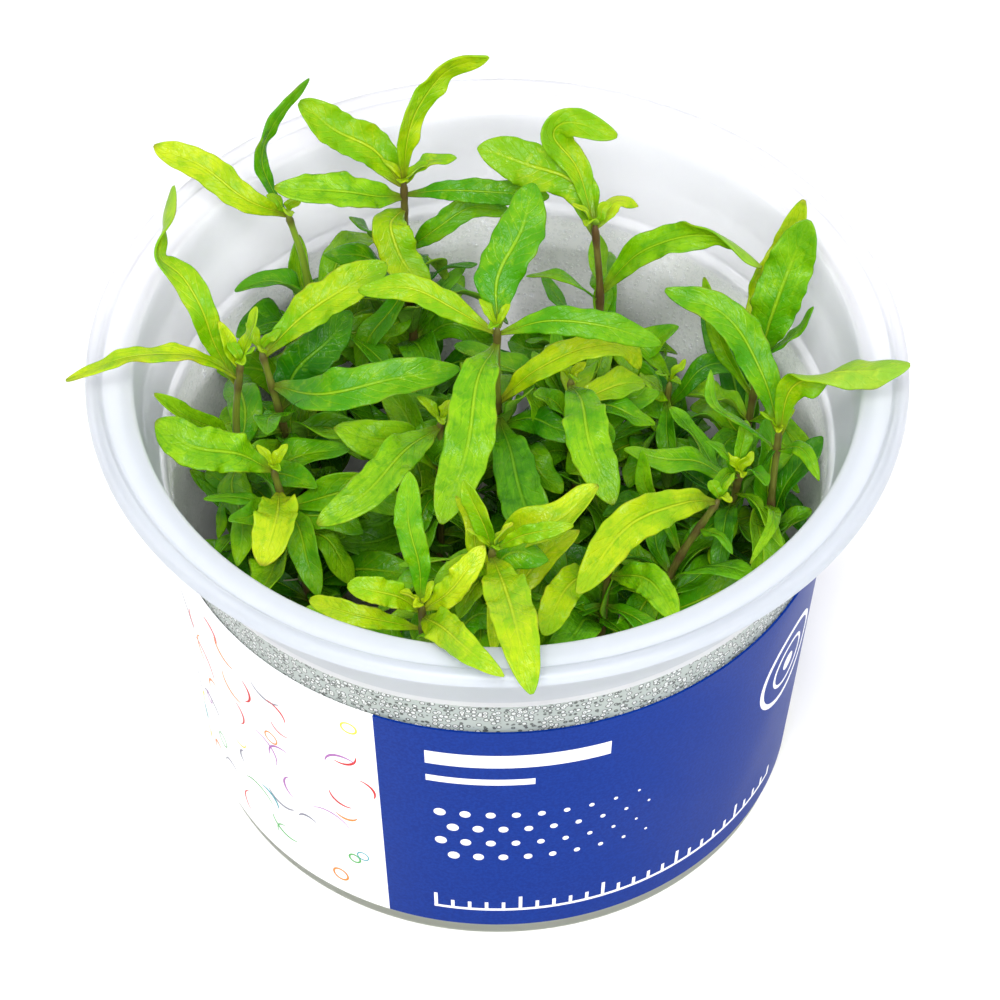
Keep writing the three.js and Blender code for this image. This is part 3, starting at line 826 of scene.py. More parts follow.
@dataclass(frozen=True)
class Finish:
    """A finish, which is built as one material."""

    def paint(self, g: Graph) -> None:
        """Set the shader and its nodes."""
        raise NotImplementedError

    def build(self, name: str, **options: bool) -> Material:
        """The material, under this name.

        Args:
            name: The material's name.
            **options: What `paint` takes beside the nodes.

        Returns:
            The material.
        """
        g = Graph(name)
        self.paint(g, **options)
        return g.material


@dataclass(frozen=True)
class TubPlastic(Finish):
    """Milky, translucent polypropylene with a beaded band of condensation under the seat.

    Heights and radii are in millimetres. The inner wall and the back are painted paler than the
    front, as painted light for the light that comes through the plastic there, and the front is
    painted darker, as painted shade; the beaded band and its bead lines are painted the same way.
    """

    colour: Colour = (0.85, 0.85, 0.895)
    # Painted shade: the darker front copy of the plastic's colour.
    shaded_colour_in_front: Colour = (0.62, 0.65, 0.695)
    cloud: Colour = (0.8, 0.82, 0.88)
    # Painted light and shade: the beaded band is dark grey-green in front and nearly white behind,
    # and its bead lines are dark in front and pale behind.
    wet_shaded_front: Colour = (0.4, 0.45, 0.42)
    wet_lit_behind: Colour = (0.98, 0.98, 1.0)
    bead_line: Colour = (0.02, 0.03, 0.02)
    bead_line_lit_behind: Colour = (0.88, 0.89, 0.91)
    bead_body: Colour = (0.86, 0.89, 0.88)
    bead_edge: Limits = (0.32, 0.38)
    bead_heart: Limits = (0.09, 0.15)
    beads_per_metre: float = 1300
    foot: Colour = (0.33, 0.35, 0.25)
    roughness: float = 0.34
    milky: float = 0.55
    clear: float = 0.25
    beads_low: float = 31.0
    beads_high: float = 51.0
    foot_top: float = 3.4
    # Heights of a painted highlight: the light on the moulded ridge, painted in the paler colour.
    ridge_highlight: Limits = (51.4, 52.6)
    ring_from: float = 58.0
    lip_from: float = 47.9
    mid_wall: float = 36.13
    taper: float = 0.0974

    def paint(self, g: Graph) -> None:
        """Colour the wall by its height and side, with painted light behind, and bead the band.

        Args:
            g: The material's nodes.
        """
        place = g.place()
        x, y, z = g.add("SeparateXYZ", Vector=place).outputs
        rise = g.times(z, 1000)
        squares = g.plus(g.math("POWER", x, 2.0), g.math("POWER", y, 2.0))
        reach = g.times(1000, g.math("SQRT", squares))
        from_foot = g.less(reach, g.times(rise, self.taper))
        inside = g.span(from_foot, self.mid_wall - 0.1, self.mid_wall + 0.1, 1, 0)
        # Painted light: the inner face and the back half take the paler, lit copies of the colours,
        # and the front half takes the darker, shaded copies.
        behind = g.math("MAXIMUM", inside, g.span(y, -0.02, 0.02))
        in_front = g.less(1.0, behind)
        band = g.times(
            g.span(rise, self.beads_low - 8, self.beads_low),
            g.span(rise, self.beads_high - 0.4, self.beads_high, 1, 0))

        cells = g.add("TexVoronoi", {"feature": "F1"}, Vector=place, Scale=self.beads_per_metre,
                      Randomness=0.6)
        distance = cells.outputs["Distance"]
        streaks = g.noise(g.place((1, 1, 0.35)), 70, 2)
        beaded = g.times(band, g.span(streaks, 0.3, 0.36))
        body = g.span(distance, *self.bead_edge, 1, 0)
        heart = g.span(distance, *self.bead_heart, 1, 0)
        outline = g.times(g.span(distance, *self.bead_edge), g.span(distance, 0.44, 0.54, 1, 0))

        # Painted highlight: in front, a thin ring at the moulded ridge takes the paler colour for
        # the light that it catches.
        low, high = self.ridge_highlight
        ridge_highlight = g.times(g.span(rise, low, low + 0.15), g.span(rise, high - 0.15, high, 1, 0))
        dry = g.mix(g.math("MAXIMUM", behind, ridge_highlight), self.shaded_colour_in_front, self.colour)
        tone = g.mix(band, dry, g.mix(behind, self.wet_shaded_front, self.wet_lit_behind))
        tone = g.mix(g.times(beaded, body, in_front), tone, self.bead_body)
        marks = g.math("MAXIMUM", g.times(heart, 0.85), outline)
        line = g.mix(behind, self.bead_line, self.bead_line_lit_behind)
        tone = g.mix(g.times(beaded, marks), tone, line)
        foot = g.times(g.span(rise, self.foot_top - 1, self.foot_top, 1, 0), 0.85)
        tone = g.mix(foot, tone, self.foot)
        clouds = g.noise(place, 60, 3)
        g.set(Base_Color=g.mix(g.span(clouds, 0.35, 0.75, 0, 0.05), tone, self.cloud))
        g.set(Roughness=g.span(clouds, 0.3, 0.7, self.roughness - 0.03, self.roughness + 0.05))

        backed = g.times(behind, g.span(rise, self.beads_high - 1, self.beads_high, 1, 0))
        see_through = g.span(g.times(band, in_front), 0, 1, self.milky, self.clear)
        ring = g.times(
            g.span(rise, self.ring_from, self.ring_from + 3, 0, 0.65),
            g.span(reach, self.lip_from - 0.3, self.lip_from, 1, 0))
        see_through = g.times(see_through, g.less(1.0, g.times(in_front, ring)))
        g.set(Transmission_Weight=g.times(see_through, g.less(1.0, backed)))
        g.set(IOR=1.49, Specular_IOR_Level=0.5)
        g.set(Subsurface_Weight=1.0, Subsurface_Radius=(1.0, 1.0, 1.05), Subsurface_Scale=0.002)
        g.bump(g.times(beaded, g.span(distance, 0.1, 0.4, 1, 0)), 0.0002, 0.7)


@dataclass(frozen=True)
class Water(Finish):
    """Clear drops of condensed water."""

    colour: Colour = (0.97, 0.98, 1.0)

    def paint(self, g: Graph) -> None:
        """Make it clear and glossy.

        Args:
            g: The material's nodes.
        """
        clouds = g.noise(g.place(), 700, 2)
        g.set(Base_Color=self.colour, Roughness=g.span(clouds, 0.3, 0.7, 0.0, 0.06))
        g.set(Transmission_Weight=1.0, IOR=1.33)


@dataclass(frozen=True)
class Print(Finish):
    """Satin printed film with the fine grain of its ink."""

    colour: Colour
    fleck: Colour
    roughness: float = 0.4
    specular: float = 0.07

    def paint(self, g: Graph) -> None:
        """Fleck the colour with its second tone.

        Args:
            g: The material's nodes.
        """
        place = g.place()
        grain = g.noise(place, 2600, 2, 0.6)
        broad = g.noise(place, 60, 2)
        tone = g.mix(g.span(grain, 0.35, 0.68, 0, 0.55), self.colour, self.fleck)
        g.set(Base_Color=g.mix(g.span(broad, 0.3, 0.7, 0, 0.12), tone, self.fleck))
        g.set(Roughness=g.span(broad, 0.3, 0.7, self.roughness - 0.03, self.roughness + 0.05))
        g.set(Specular_IOR_Level=self.specular)
        g.bump(grain, 0.00002, 0.35)


@dataclass(frozen=True)
class Gel(Finish):
    """Clear, faintly beige culture jelly."""

    colour: Colour = (0.86, 0.83, 0.72)
    cloud: Colour = (0.7, 0.7, 0.62)

    def paint(self, g: Graph) -> None:
        """Cloud the jelly a little.

        Args:
            g: The material's nodes.
        """
        clouds = g.noise(g.place(), 120, 4)
        g.set(Base_Color=g.mix(clouds, self.colour, self.cloud))
        g.set(Roughness=g.span(clouds, 0.3, 0.7, 0.08, 0.2), Transmission_Weight=0.7, IOR=1.34)
        g.bump(clouds, 0.0006, 0.4)


@dataclass(frozen=True)
class StemSkin(Finish):
    """Olive stem, browner at its joints and greener towards the tip."""

    brown: Colour = (0.13, 0.08, 0.022)
    olive: Colour = (0.11, 0.13, 0.015)
    fresh: Colour = (0.26, 0.42, 0.03)
    joint: Colour = (0.09, 0.045, 0.02)
    streak: Colour = (0.3, 0.3, 0.07)
    fresh_between: Limits = (42, 60)

    def paint(self, g: Graph) -> None:
        """Mix the tones by height, by the stem's own greenness and by its joints.

        Args:
            g: The material's nodes.
        """
        rise = g.times(g.add("SeparateXYZ", Vector=g.place()).outputs[2], 1000)
        streaks = g.noise(g.place((1, 1, 0.08)), 3200, 3)
        fresh = g.mix(g.span(rise, *self.fresh_between), self.olive, self.fresh)
        tone = g.mix(g.attribute("green"), self.brown, fresh)
        tone = g.mix(g.span(streaks, 0.4, 0.7, 0, 0.35), tone, self.streak)
        g.set(Base_Color=g.mix(g.times(g.attribute("joint"), 0.8), tone, self.joint))
        g.set(Roughness=g.span(streaks, 0.3, 0.7, 0.32, 0.5), Specular_IOR_Level=0.25)
        g.bump(streaks, 0.00012, 0.5)


@dataclass(frozen=True)
class LeafSkin(Finish):
    """One side of a living leaf: midrib, side veins, blotches and a spread of greens."""

    young: Colour
    old: Colour
    rib: Colour
    dry: Colour = (0.2, 0.12, 0.02)
    stalk: Colour = (0.2, 0.16, 0.025)
    pale_under: Colour = (0.34, 0.52, 0.09)
    roughness: float = 0.21
    rougher_under: float = 0.15
    specular: float = 0.2
    side_veins: float = 13
    vein_slant: float = 2.2

    def paint(self, g: Graph, under: bool = False) -> None:
        """Paint the upper side or the paler, duller underside.

        Args:
            g: The material's nodes.
            under: True for the underside.
        """
        u, length, _ = g.add("SeparateXYZ", Vector=g.add("UVMap").outputs[0]).outputs
        across = g.math("ABSOLUTE", g.times(g.less(u, 0.5), 2))
        tint = g.attribute("tint")
        place = g.place()
        clouds = g.noise(place, 230, 3)
        blotches = g.noise(place, 620, 4, 0.62)
        age = g.math("ADD", tint, g.span(clouds, 0.3, 0.7, -0.4, 0.4), True)
        tone = g.mix(age, self.old, self.young)
        heart = g.times(g.span(across, 0.0, 0.6, 0.45, 0), g.span(length, 0.2, 0.9, 1, 0.2))
        tone = g.mix(heart, tone, self.old)
        lift = g.times(g.span(length, 0.2, 1.0), g.span(tint, 0.35, 0.9, 0.1, 0.4))
        tone = g.mix(lift, tone, self.rib)
        tone = g.mix(g.span(blotches, 0.5, 0.66, 0, 0.5), tone, self.old)
        tone = g.mix(g.span(blotches, 0.3, 0.44, 0.3, 0), tone, self.rib)

        slant = g.less(g.times(length, self.side_veins), g.times(across, self.vein_slant))
        place_in_row = g.math("FRACT", g.plus(slant, g.times(clouds, 2.2)))
        vein = g.span(g.math("ABSOLUTE", g.less(place_in_row, 0.5)), 0.0, 0.13, 1, 0)
        veins = g.times(vein, g.span(across, 0.7, 0.95, 1, 0))
        fine = g.add("CombineXYZ", X=g.times(u, 20), Y=g.times(length, 5), Z=g.times(tint, 9))
        streaks = g.noise(fine.outputs[0], 1.0, 4)
        tone = g.mix(g.span(streaks, 0.45, 0.7, 0, 0.45), tone, self.old)
        tone = g.mix(g.times(veins, g.span(clouds, 0.35, 0.65, 0.05, 0.3)), tone, self.rib)
        rib = g.times(g.span(across, 0.03, 0.11, 1, 0), g.span(length, 0.4, 0.95, 1, 0.1))
        tone = g.mix(g.times(rib, 0.55), tone, self.rib)

        dry_tip = g.times(g.span(length, 0.95, 1.0), g.span(tint, 0.55, 0.75))
        dry_edge = g.times(g.span(across, 0.9, 1.0), g.span(clouds, 0.5, 0.64))
        tone = g.mix(g.times(g.math("MAXIMUM", dry_tip, dry_edge), 0.45), tone, self.dry)
        tone = g.mix(g.times(g.span(length, 0.0, 0.2, 1, 0), 0.55), tone, self.stalk)
        if under:
            tone = g.mix(0.3, tone, self.pale_under)
        rough = self.roughness + (self.rougher_under if under else 0)
        g.set(Base_Color=tone, Specular_IOR_Level=self.specular)
        g.set(Roughness=g.span(blotches, 0.35, 0.65, rough - 0.05, rough + 0.05))
        relief = g.less(g.times(blotches, 1.8), g.plus(g.times(veins, 0.2), rib))
        g.bump(relief, 0.0003, 0.7, invert=under)


@dataclass(frozen=True)
class RootSkin(Finish):
    """Fine pale root."""

    colour: Colour = (0.72, 0.68, 0.52)
    patch: Colour = (0.5, 0.42, 0.26)

    def paint(self, g: Graph) -> None:
        """Patch the colour with its second tone.

        Args:
            g: The material's nodes.
        """
        clouds = g.noise(g.place(), 800, 3)
        g.set(Base_Color=g.mix(clouds, self.colour, self.patch))
        g.set(Roughness=g.span(clouds, 0.3, 0.7, 0.4, 0.6))
        g.bump(clouds, 0.0001, 0.5)


@dataclass(frozen=True)
class StudioPaper(Finish):
    """Plain pale paper under the tub."""

    colour: Colour = (0.97, 0.97, 0.97)

    def paint(self, g: Graph) -> None:
        """Set its plain colour."""
        g.set(Base_Color=self.colour, Roughness=0.9, Specular_IOR_Level=0.1)


# The deep skin is darker partly for age and partly as painted shade for the low leaves.
SKINS = {
    BRIGHT: LeafSkin((0.42, 0.56, 0.002), (0.15, 0.39, 0.001), (0.56, 0.66, 0.02)),
    GREEN: LeafSkin((0.2, 0.46, 0.001), (0.05, 0.26, 0.001), (0.35, 0.57, 0.012)),
    DEEP: LeafSkin((0.1, 0.36, 0.001), (0.015, 0.14, 0.001), (0.2, 0.46, 0.01)),
}
INKS = {
    "orange": (0.8, 0.25, 0.05), "red": (0.6, 0.04, 0.04), "yellow": (0.85, 0.65, 0.06),
    "green": (0.12, 0.4, 0.12), "teal": (0.05, 0.32, 0.36), "grey": (0.25, 0.25, 0.3),
    "violet": (0.4, 0.16, 0.42),
}


def linked(name: str, data: bpy.types.ID) -> Piece:
    """A new object of this data, linked to the scene.

    Args:
        name: Its name.
        data: Its mesh, light or camera.

    Returns:
        The object.
    """
    thing = bpy.data.objects.new(name, data)
    bpy.context.scene.collection.objects.link(thing)
    return thing


def mesh_of(name: str, bm: Mesh, materials: list) -> bpy.types.Mesh:
    """Turn a finished bmesh into a mesh and free it.

    Args:
        name: The mesh's name.
        bm: Its shape, in metres.
        materials: Its materials, by index.

    Returns:
        The mesh.
    """
    mesh = bpy.data.meshes.new(name)
    bm.to_mesh(mesh)
    bm.free()
    for material in materials:
        mesh.materials.append(material)
    return mesh


def mesh_object(name: str, bm: Mesh, materials: list, smooth: bool = True) -> Piece:
    """Turn a finished bmesh into an object on the part.

    Args:
        name: The object's name.
        bm: Its shape, in metres; it is freed here.
        materials: Its materials, by index.
        smooth: Whether its faces are shaded smooth.

    Returns:
        The object, linked and riding on the body.
    """
    for face in bm.faces:
        face.smooth = smooth
    piece = linked(name, mesh_of(name, bm, materials))
    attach(piece, BODY)
    return piece


def add_modifier(piece: Piece, kind: str, **settings: object) -> None:
    """Add a modifier with these settings.

    Args:
        piece: The piece that takes it.
        kind: Its type in Blender.
        **settings: Values of its properties.
    """
    modifier = piece.modifiers.new(kind.title(), kind)
    for key, value in settings.items():
        setattr(modifier, key, value)


def face_outward(bm: Mesh) -> Mesh:
    """Turn every face outwards."""
    bmesh.ops.recalc_face_normals(bm, faces=bm.faces[:])
    return bm


def looks_inward(face: bmesh.types.BMFace) -> bool:
    """Whether a face looks towards the Z axis."""
    middle = face.calc_center_median()
    return face.normal.dot(Vector((middle.x, middle.y, 0))) < 0


def spun(profile: list, steps: int) -> Mesh:
    """Spin a profile once round the Z axis.

    Args:
        profile: Radius, height and rounding of each corner, in millimetres; both ends lie on
            the axis.
        steps: The number of steps round.

    Returns:
        A closed shape with its faces outward.
    """
    bm = bmesh.new()
    corners = [bm.verts.new((radius * MM, 0, height * MM)) for radius, height, _ in profile]
    for pair in zip(corners, corners[1:]):
        bm.edges.new(pair)
    for corner, (_, _, rounding) in zip(corners, profile):
        if rounding:
            bmesh.ops.bevel(
                bm, geom=[corner], offset=rounding * MM, offset_type="OFFSET",
                affect="VERTICES", segments=4, profile=0.5, material=-1)
    bmesh.ops.spin(
        bm, geom=bm.verts[:] + bm.edges[:], cent=(0, 0, 0), axis=(0, 0, 1), angle=2 * math.pi,
        steps=steps, use_merge=True)
    bmesh.ops.remove_doubles(bm, verts=bm.verts[:], dist=1e-7)
    return face_outward(bm)


@dataclass(frozen=True)
class Tub:
    """The moulded tub with its seat, sealing ring and rolled rim."""

    sizes: TubSizes
    steps: int = 160
    shoulder_rise: float = 0.6
    foot_corner: float = 0.9

    def profile(self) -> list:
        """The section from the axis under the floor round the rim to the axis above it."""
        s = self.sizes
        corner, shoulder = self.foot_corner, s.taper_top + self.shoulder_rise
        under = s.sealing_face - s.wall
        foot, rim = s.taper_radius(corner), s.rim_radius
        return [
            (0, 0, 0), (foot - corner, 0, 0), (foot, corner, 0.5),
            (s.taper_top_radius, s.taper_top, 0.3),
            (s.seat_foot_radius + s.wall, shoulder, 0.25),
            (s.seat_foot_radius + s.wall, s.seat_foot, 0),
            (s.seat_bend_radius + s.wall, s.seat_bend, 0.8),
            (s.mouth_radius + s.wall, s.mouth_edge - 1.2, 0.7),
            (s.mouth_radius + 1.8, under, 0.5), (rim - 1.4, under, 0.25),
            (rim - 0.9, s.height - 2.1, 0.2), (rim, s.height - 1.7, 0.25), (rim, s.height, 0.75),
            (rim - 1.6, s.height, 0.25), (rim - 2.1, s.sealing_face, 0.2),
            (s.mouth_radius, s.sealing_face, 0.6), (s.seat_bend_radius, s.seat_bend, 0.8),
            (s.seat_foot_radius, s.seat_foot, 0.4), (s.taper_top_radius - s.wall, shoulder, 0.3),
            (s.taper_radius(s.floor) - s.wall, s.floor, 1.0), (0, s.floor, 0),
        ]

    def build(self, plastic: Material) -> Piece:
        """Build the tub in place of its node.

        Args:
            plastic: Its material.

        Returns:
            The object.
        """
        piece = mesh_object("tub_moulding", spun(self.profile(), self.steps), [plastic])
        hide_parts("tub")
        return piece


@dataclass(frozen=True)
class Label:
    """The printed label: a white part on the left and a blue part on the right."""

    sizes: TubSizes
    steps: int = 250
    clearance: float = 0.08
    white_from: float = math.radians(-158)
    white_to: float = math.radians(-20.6)
    sharp_edge: float = math.radians(40)

    def radius(self, height: float) -> float:
        """Radius of the label's outer face at a height."""
        return self.sizes.taper_radius(height) + self.clearance + self.sizes.label_thickness

    def build(self, white: Material, blue: Material) -> Piece:
        """Build the label, white on its back, in place of its node.

        Args:
            white: The material of the white part.
            blue: The material of the blue part.

        Returns:
            The object.
        """
        s = self.sizes
        bm = bmesh.new()
        low, high, film = s.label_bottom, s.label_top, s.label_thickness
        section = [
            bm.verts.new(((self.radius(height) - inset) * MM, 0, height * MM))
            for height, inset in ((low, film), (low, 0), (high, 0), (high, film))]
        for start, end in zip(section, section[1:] + section[:1]):
            bm.edges.new((start, end))
        turn = Matrix.Rotation(math.pi / 2 + s.label_gap_at_back / 2, 3, "Z")
        bmesh.ops.rotate(bm, verts=bm.verts[:], cent=(0, 0, 0), matrix=turn)
        bmesh.ops.spin(
            bm, geom=bm.verts[:] + bm.edges[:], cent=(0, 0, 0), axis=(0, 0, 1),
            angle=2 * math.pi - s.label_gap_at_back, steps=self.steps)
        bmesh.ops.holes_fill(bm, edges=bm.edges[:], sides=4)
        for face in face_outward(bm).faces:
            middle = face.calc_center_median()
            on_white = self.white_from < math.atan2(middle.x, -middle.y) < self.white_to
            face.material_index = 0 if looks_inward(face) or on_white else 1
        piece = mesh_object("printed_label", bm, [white, blue])
        add_modifier(piece, "EDGE_SPLIT", split_angle=self.sharp_edge)
        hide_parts("label")
        return piece


class Mark(Enum):
    """The plain printed shapes on the label."""

    DOT = "dot"
    RING = "ring"
    BAR = "bar"
    ARC = "arc"


@dataclass(frozen=True)
class PrintedMark:
    """One mark on the label, in millimetres along and up the label from its front."""

    kind: Mark
    across: float
    up: float
    size: float
    stroke: float = 0.5
    tall: float = 0.8
    turn: float = 0.0
    ink: int = 0

    ARC_SWEEP = 1.9
    BAR_STEP = 1.5

    def draw(self, bm: Mesh) -> None:
        """Add the mark, flat, to a bmesh whose x runs along the label and y up it.

        Args:
            bm: The mesh that takes it.
        """
        if self.kind is Mark.DOT:
            verts = bmesh.ops.create_circle(
                bm, cap_ends=True, segments=16, radius=self.size)["verts"]
        elif self.kind is Mark.BAR:
            verts = self._strip(bm, max(1, round(self.size / self.BAR_STEP)))
            bmesh.ops.scale(bm, vec=(self.size, self.tall, 1), verts=verts)
        else:
            verts = self._stroke(bm)
        for face in {face for vert in verts for face in vert.link_faces}:
            face.material_index = self.ink
        cos, sin = math.cos(self.turn), math.sin(self.turn)
        for vert in verts:
            x, y = vert.co.x, vert.co.y
            vert.co = (x * cos - y * sin + self.across, x * sin + y * cos + self.up, 0)

    def _strip(self, bm: Mesh, steps: int) -> list:
        """Add a square of one by one in steps along x."""
        return bmesh.ops.create_grid(bm, x_segments=steps, y_segments=1, size=0.5)["verts"]

    def _stroke(self, bm: Mesh) -> list:
        """Add a ring or a tapering arc as a bent strip.

        Args:
            bm: The mesh that takes it.

        Returns:
            Its vertices.
        """
        ring = self.kind is Mark.RING
        sweep = 2 * math.pi if ring else self.ARC_SWEEP
        verts = self._strip(bm, 40 if ring else 16)
        for vert in verts:
            share, side = vert.co.x + 0.5, vert.co.y
            angle = (share - 0.5) * sweep
            taper = 1 if ring else math.sin(math.pi * (0.08 + 0.84 * share))
            radius = self.size + side * self.stroke * taper
            vert.co = (radius * math.cos(angle), radius * math.sin(angle), 0)
        if ring:
            bmesh.ops.remove_doubles(bm, verts=verts, dist=1e-4)
        return [vert for vert in verts if vert.is_valid]


@dataclass(frozen=True)
class LabelPrint:
    """The plain marks on the label, raised by the thickness of their ink."""

    label: Label
    ink_thickness: float = 0.035
    sunk: float = 0.005
    middle: float = 25
    target: tuple[float, float] = (44, 31)
    dots: tuple[int, int] = (4, 9)
    dot_pitch: float = 3.1
    ticks: int = 25
    tick_pitch: float = 2.2
    scatter: tuple[int, int] = (10, 5)
    seed: int = 2027

    def white_marks(self) -> list[PrintedMark]:
        """Marks on the blue part: plain bars, a field of dots, a target and a ruler of ticks."""
        pitch = self.dot_pitch
        marks = [
            PrintedMark(Mark.BAR, 2.5, 39.6, 22, tall=2.6),
            PrintedMark(Mark.BAR, -2, 35.2, 13, tall=1.2),
            PrintedMark(Mark.RING, *self.target, 6.4, stroke=0.8),
            PrintedMark(Mark.RING, *self.target, 3.6, stroke=0.5),
            PrintedMark(Mark.DOT, *self.target, 1.3),
        ]
        for row in range(self.dots[0]):
            for column in range(self.dots[1]):
                across = -7 + pitch * column + pitch / 2 * (row % 2)
                marks.append(PrintedMark(
                    Mark.DOT, across, 28 - pitch * row, 0.75 - 0.07 * column))
        for step in range(self.ticks):
            tall = 2.6 if step % 5 == 0 else 1.4
            marks.append(PrintedMark(
                Mark.BAR, -8 + self.tick_pitch * step, 7 + tall / 2, 0.45, tall=tall))
        marks.append(PrintedMark(Mark.BAR, 18.4, 6.8, 53.3, tall=0.45))
        return marks

    def coloured_marks(self) -> list[PrintedMark]:
        """Marks on the white part: scattered thin arcs and bubbles in several colours."""
        draw = Stream(self.seed)
        marks = []
        for row in range(self.scatter[0]):
            for column in range(self.scatter[1]):
                across = -52 + 8.0 * column + draw.between(-2.8, 2.8)
                up = 7.5 + 3.6 * row + draw.between(-1.3, 1.3)
                kind = Mark.RING if draw.next() < 0.3 else Mark.ARC
                sizes, strokes = (
                    ((0.5, 1.1), (0.14, 0.3)) if kind is Mark.RING else ((1.5, 3.4), (0.2, 0.42)))
                marks.append(PrintedMark(
                    kind, across, up, draw.between(*sizes), stroke=draw.between(*strokes),
                    turn=draw.between(0, 6.28), ink=int(draw.next() * 6.999)))
        return marks

    def _build(self, name: str, marks: list[PrintedMark], inks: list) -> Piece:
        """Draw marks flat, bend them round the label and give them the ink's thickness.

        Args:
            name: The object's name.
            marks: The marks.
            inks: Their materials, by index.

        Returns:
            The object.
        """
        bm = bmesh.new()
        for mark in marks:
            mark.draw(bm)
        for vert in bm.verts:
            height = vert.co.y
            angle = vert.co.x / self.label.radius(self.middle)
            radius = self.label.radius(height) - self.sunk
            vert.co = (radius * math.sin(angle) * MM, -radius * math.cos(angle) * MM, height * MM)
        for face in face_outward(bm).faces:
            if looks_inward(face):
                face.normal_flip()
        piece = mesh_object(name, bm, inks, smooth=False)
        add_modifier(piece, "SOLIDIFY", thickness=self.ink_thickness * MM, offset=1.0)
        return piece

    def build(self, white: Material, inks: list) -> list[Piece]:
        """Build both sets of marks.

        Args:
            white: The white ink.
            inks: The coloured inks, by index.

        Returns:
            The objects.
        """
        return [
            self._build("white_print", self.white_marks(), [white]),
            self._build("coloured_print", self.coloured_marks(), inks),
        ]


@dataclass(frozen=True)
class Jelly:
    """The culture jelly, with a surface that climbs a little at the wall."""

    sizes: TubSizes
    steps: int = 96
    gap: float = 0.12
    corner: float = 1.4
    swell: float = 0.22
    flat_from: float = 34
    seed: int = 311

    def build(self, gel: Material) -> Piece:
        """Build the jelly in place of its node.

        Args:
            gel: Its material.

        Returns:
            The object.
        """
        s = self.sizes
        low, top = s.floor + self.gap, s.jelly_top
        corner = low + self.corner
        bm = spun([
            (0, low, 0), (s.inner_radius(corner) - self.corner, low, 0),
            (s.inner_radius(corner) - self.gap, corner, 0.8),
            (s.inner_radius(top) - self.gap, top, 0), (30, top - 0.7, 2.5), (15, top - 0.5, 0),
            (0, top - 0.6, 0),
        ], self.steps)
        draw = Stream(self.seed)
        phases = [draw.between(0, 6.3) for _ in range(4)]
        surface = [vert for vert in bm.verts if vert.co.z > (top - 1) * MM]
        inner = {e for v in surface for e in v.link_edges if all(o in surface for o in e.verts)}
        bmesh.ops.subdivide_edges(bm, edges=list(inner), cuts=2, use_grid_fill=True)
        for vert in bm.verts:
            if vert.co.z > (top - 1) * MM:
                x, y = vert.co.x / MM, vert.co.y / MM
                swell = math.sin(x * 0.31 + phases[0]) * math.sin(y * 0.27 + phases[1])
                swell += 0.5 * math.sin(x * 0.8 + y * 0.5 + phases[2])
                fade = max(0.0, 1 - (math.hypot(x, y) / self.flat_from) ** 4)
                vert.co.z += swell * self.swell * fade * MM
        piece = mesh_object("culture_jelly", bm, [gel])
        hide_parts("jelly")
        return piece


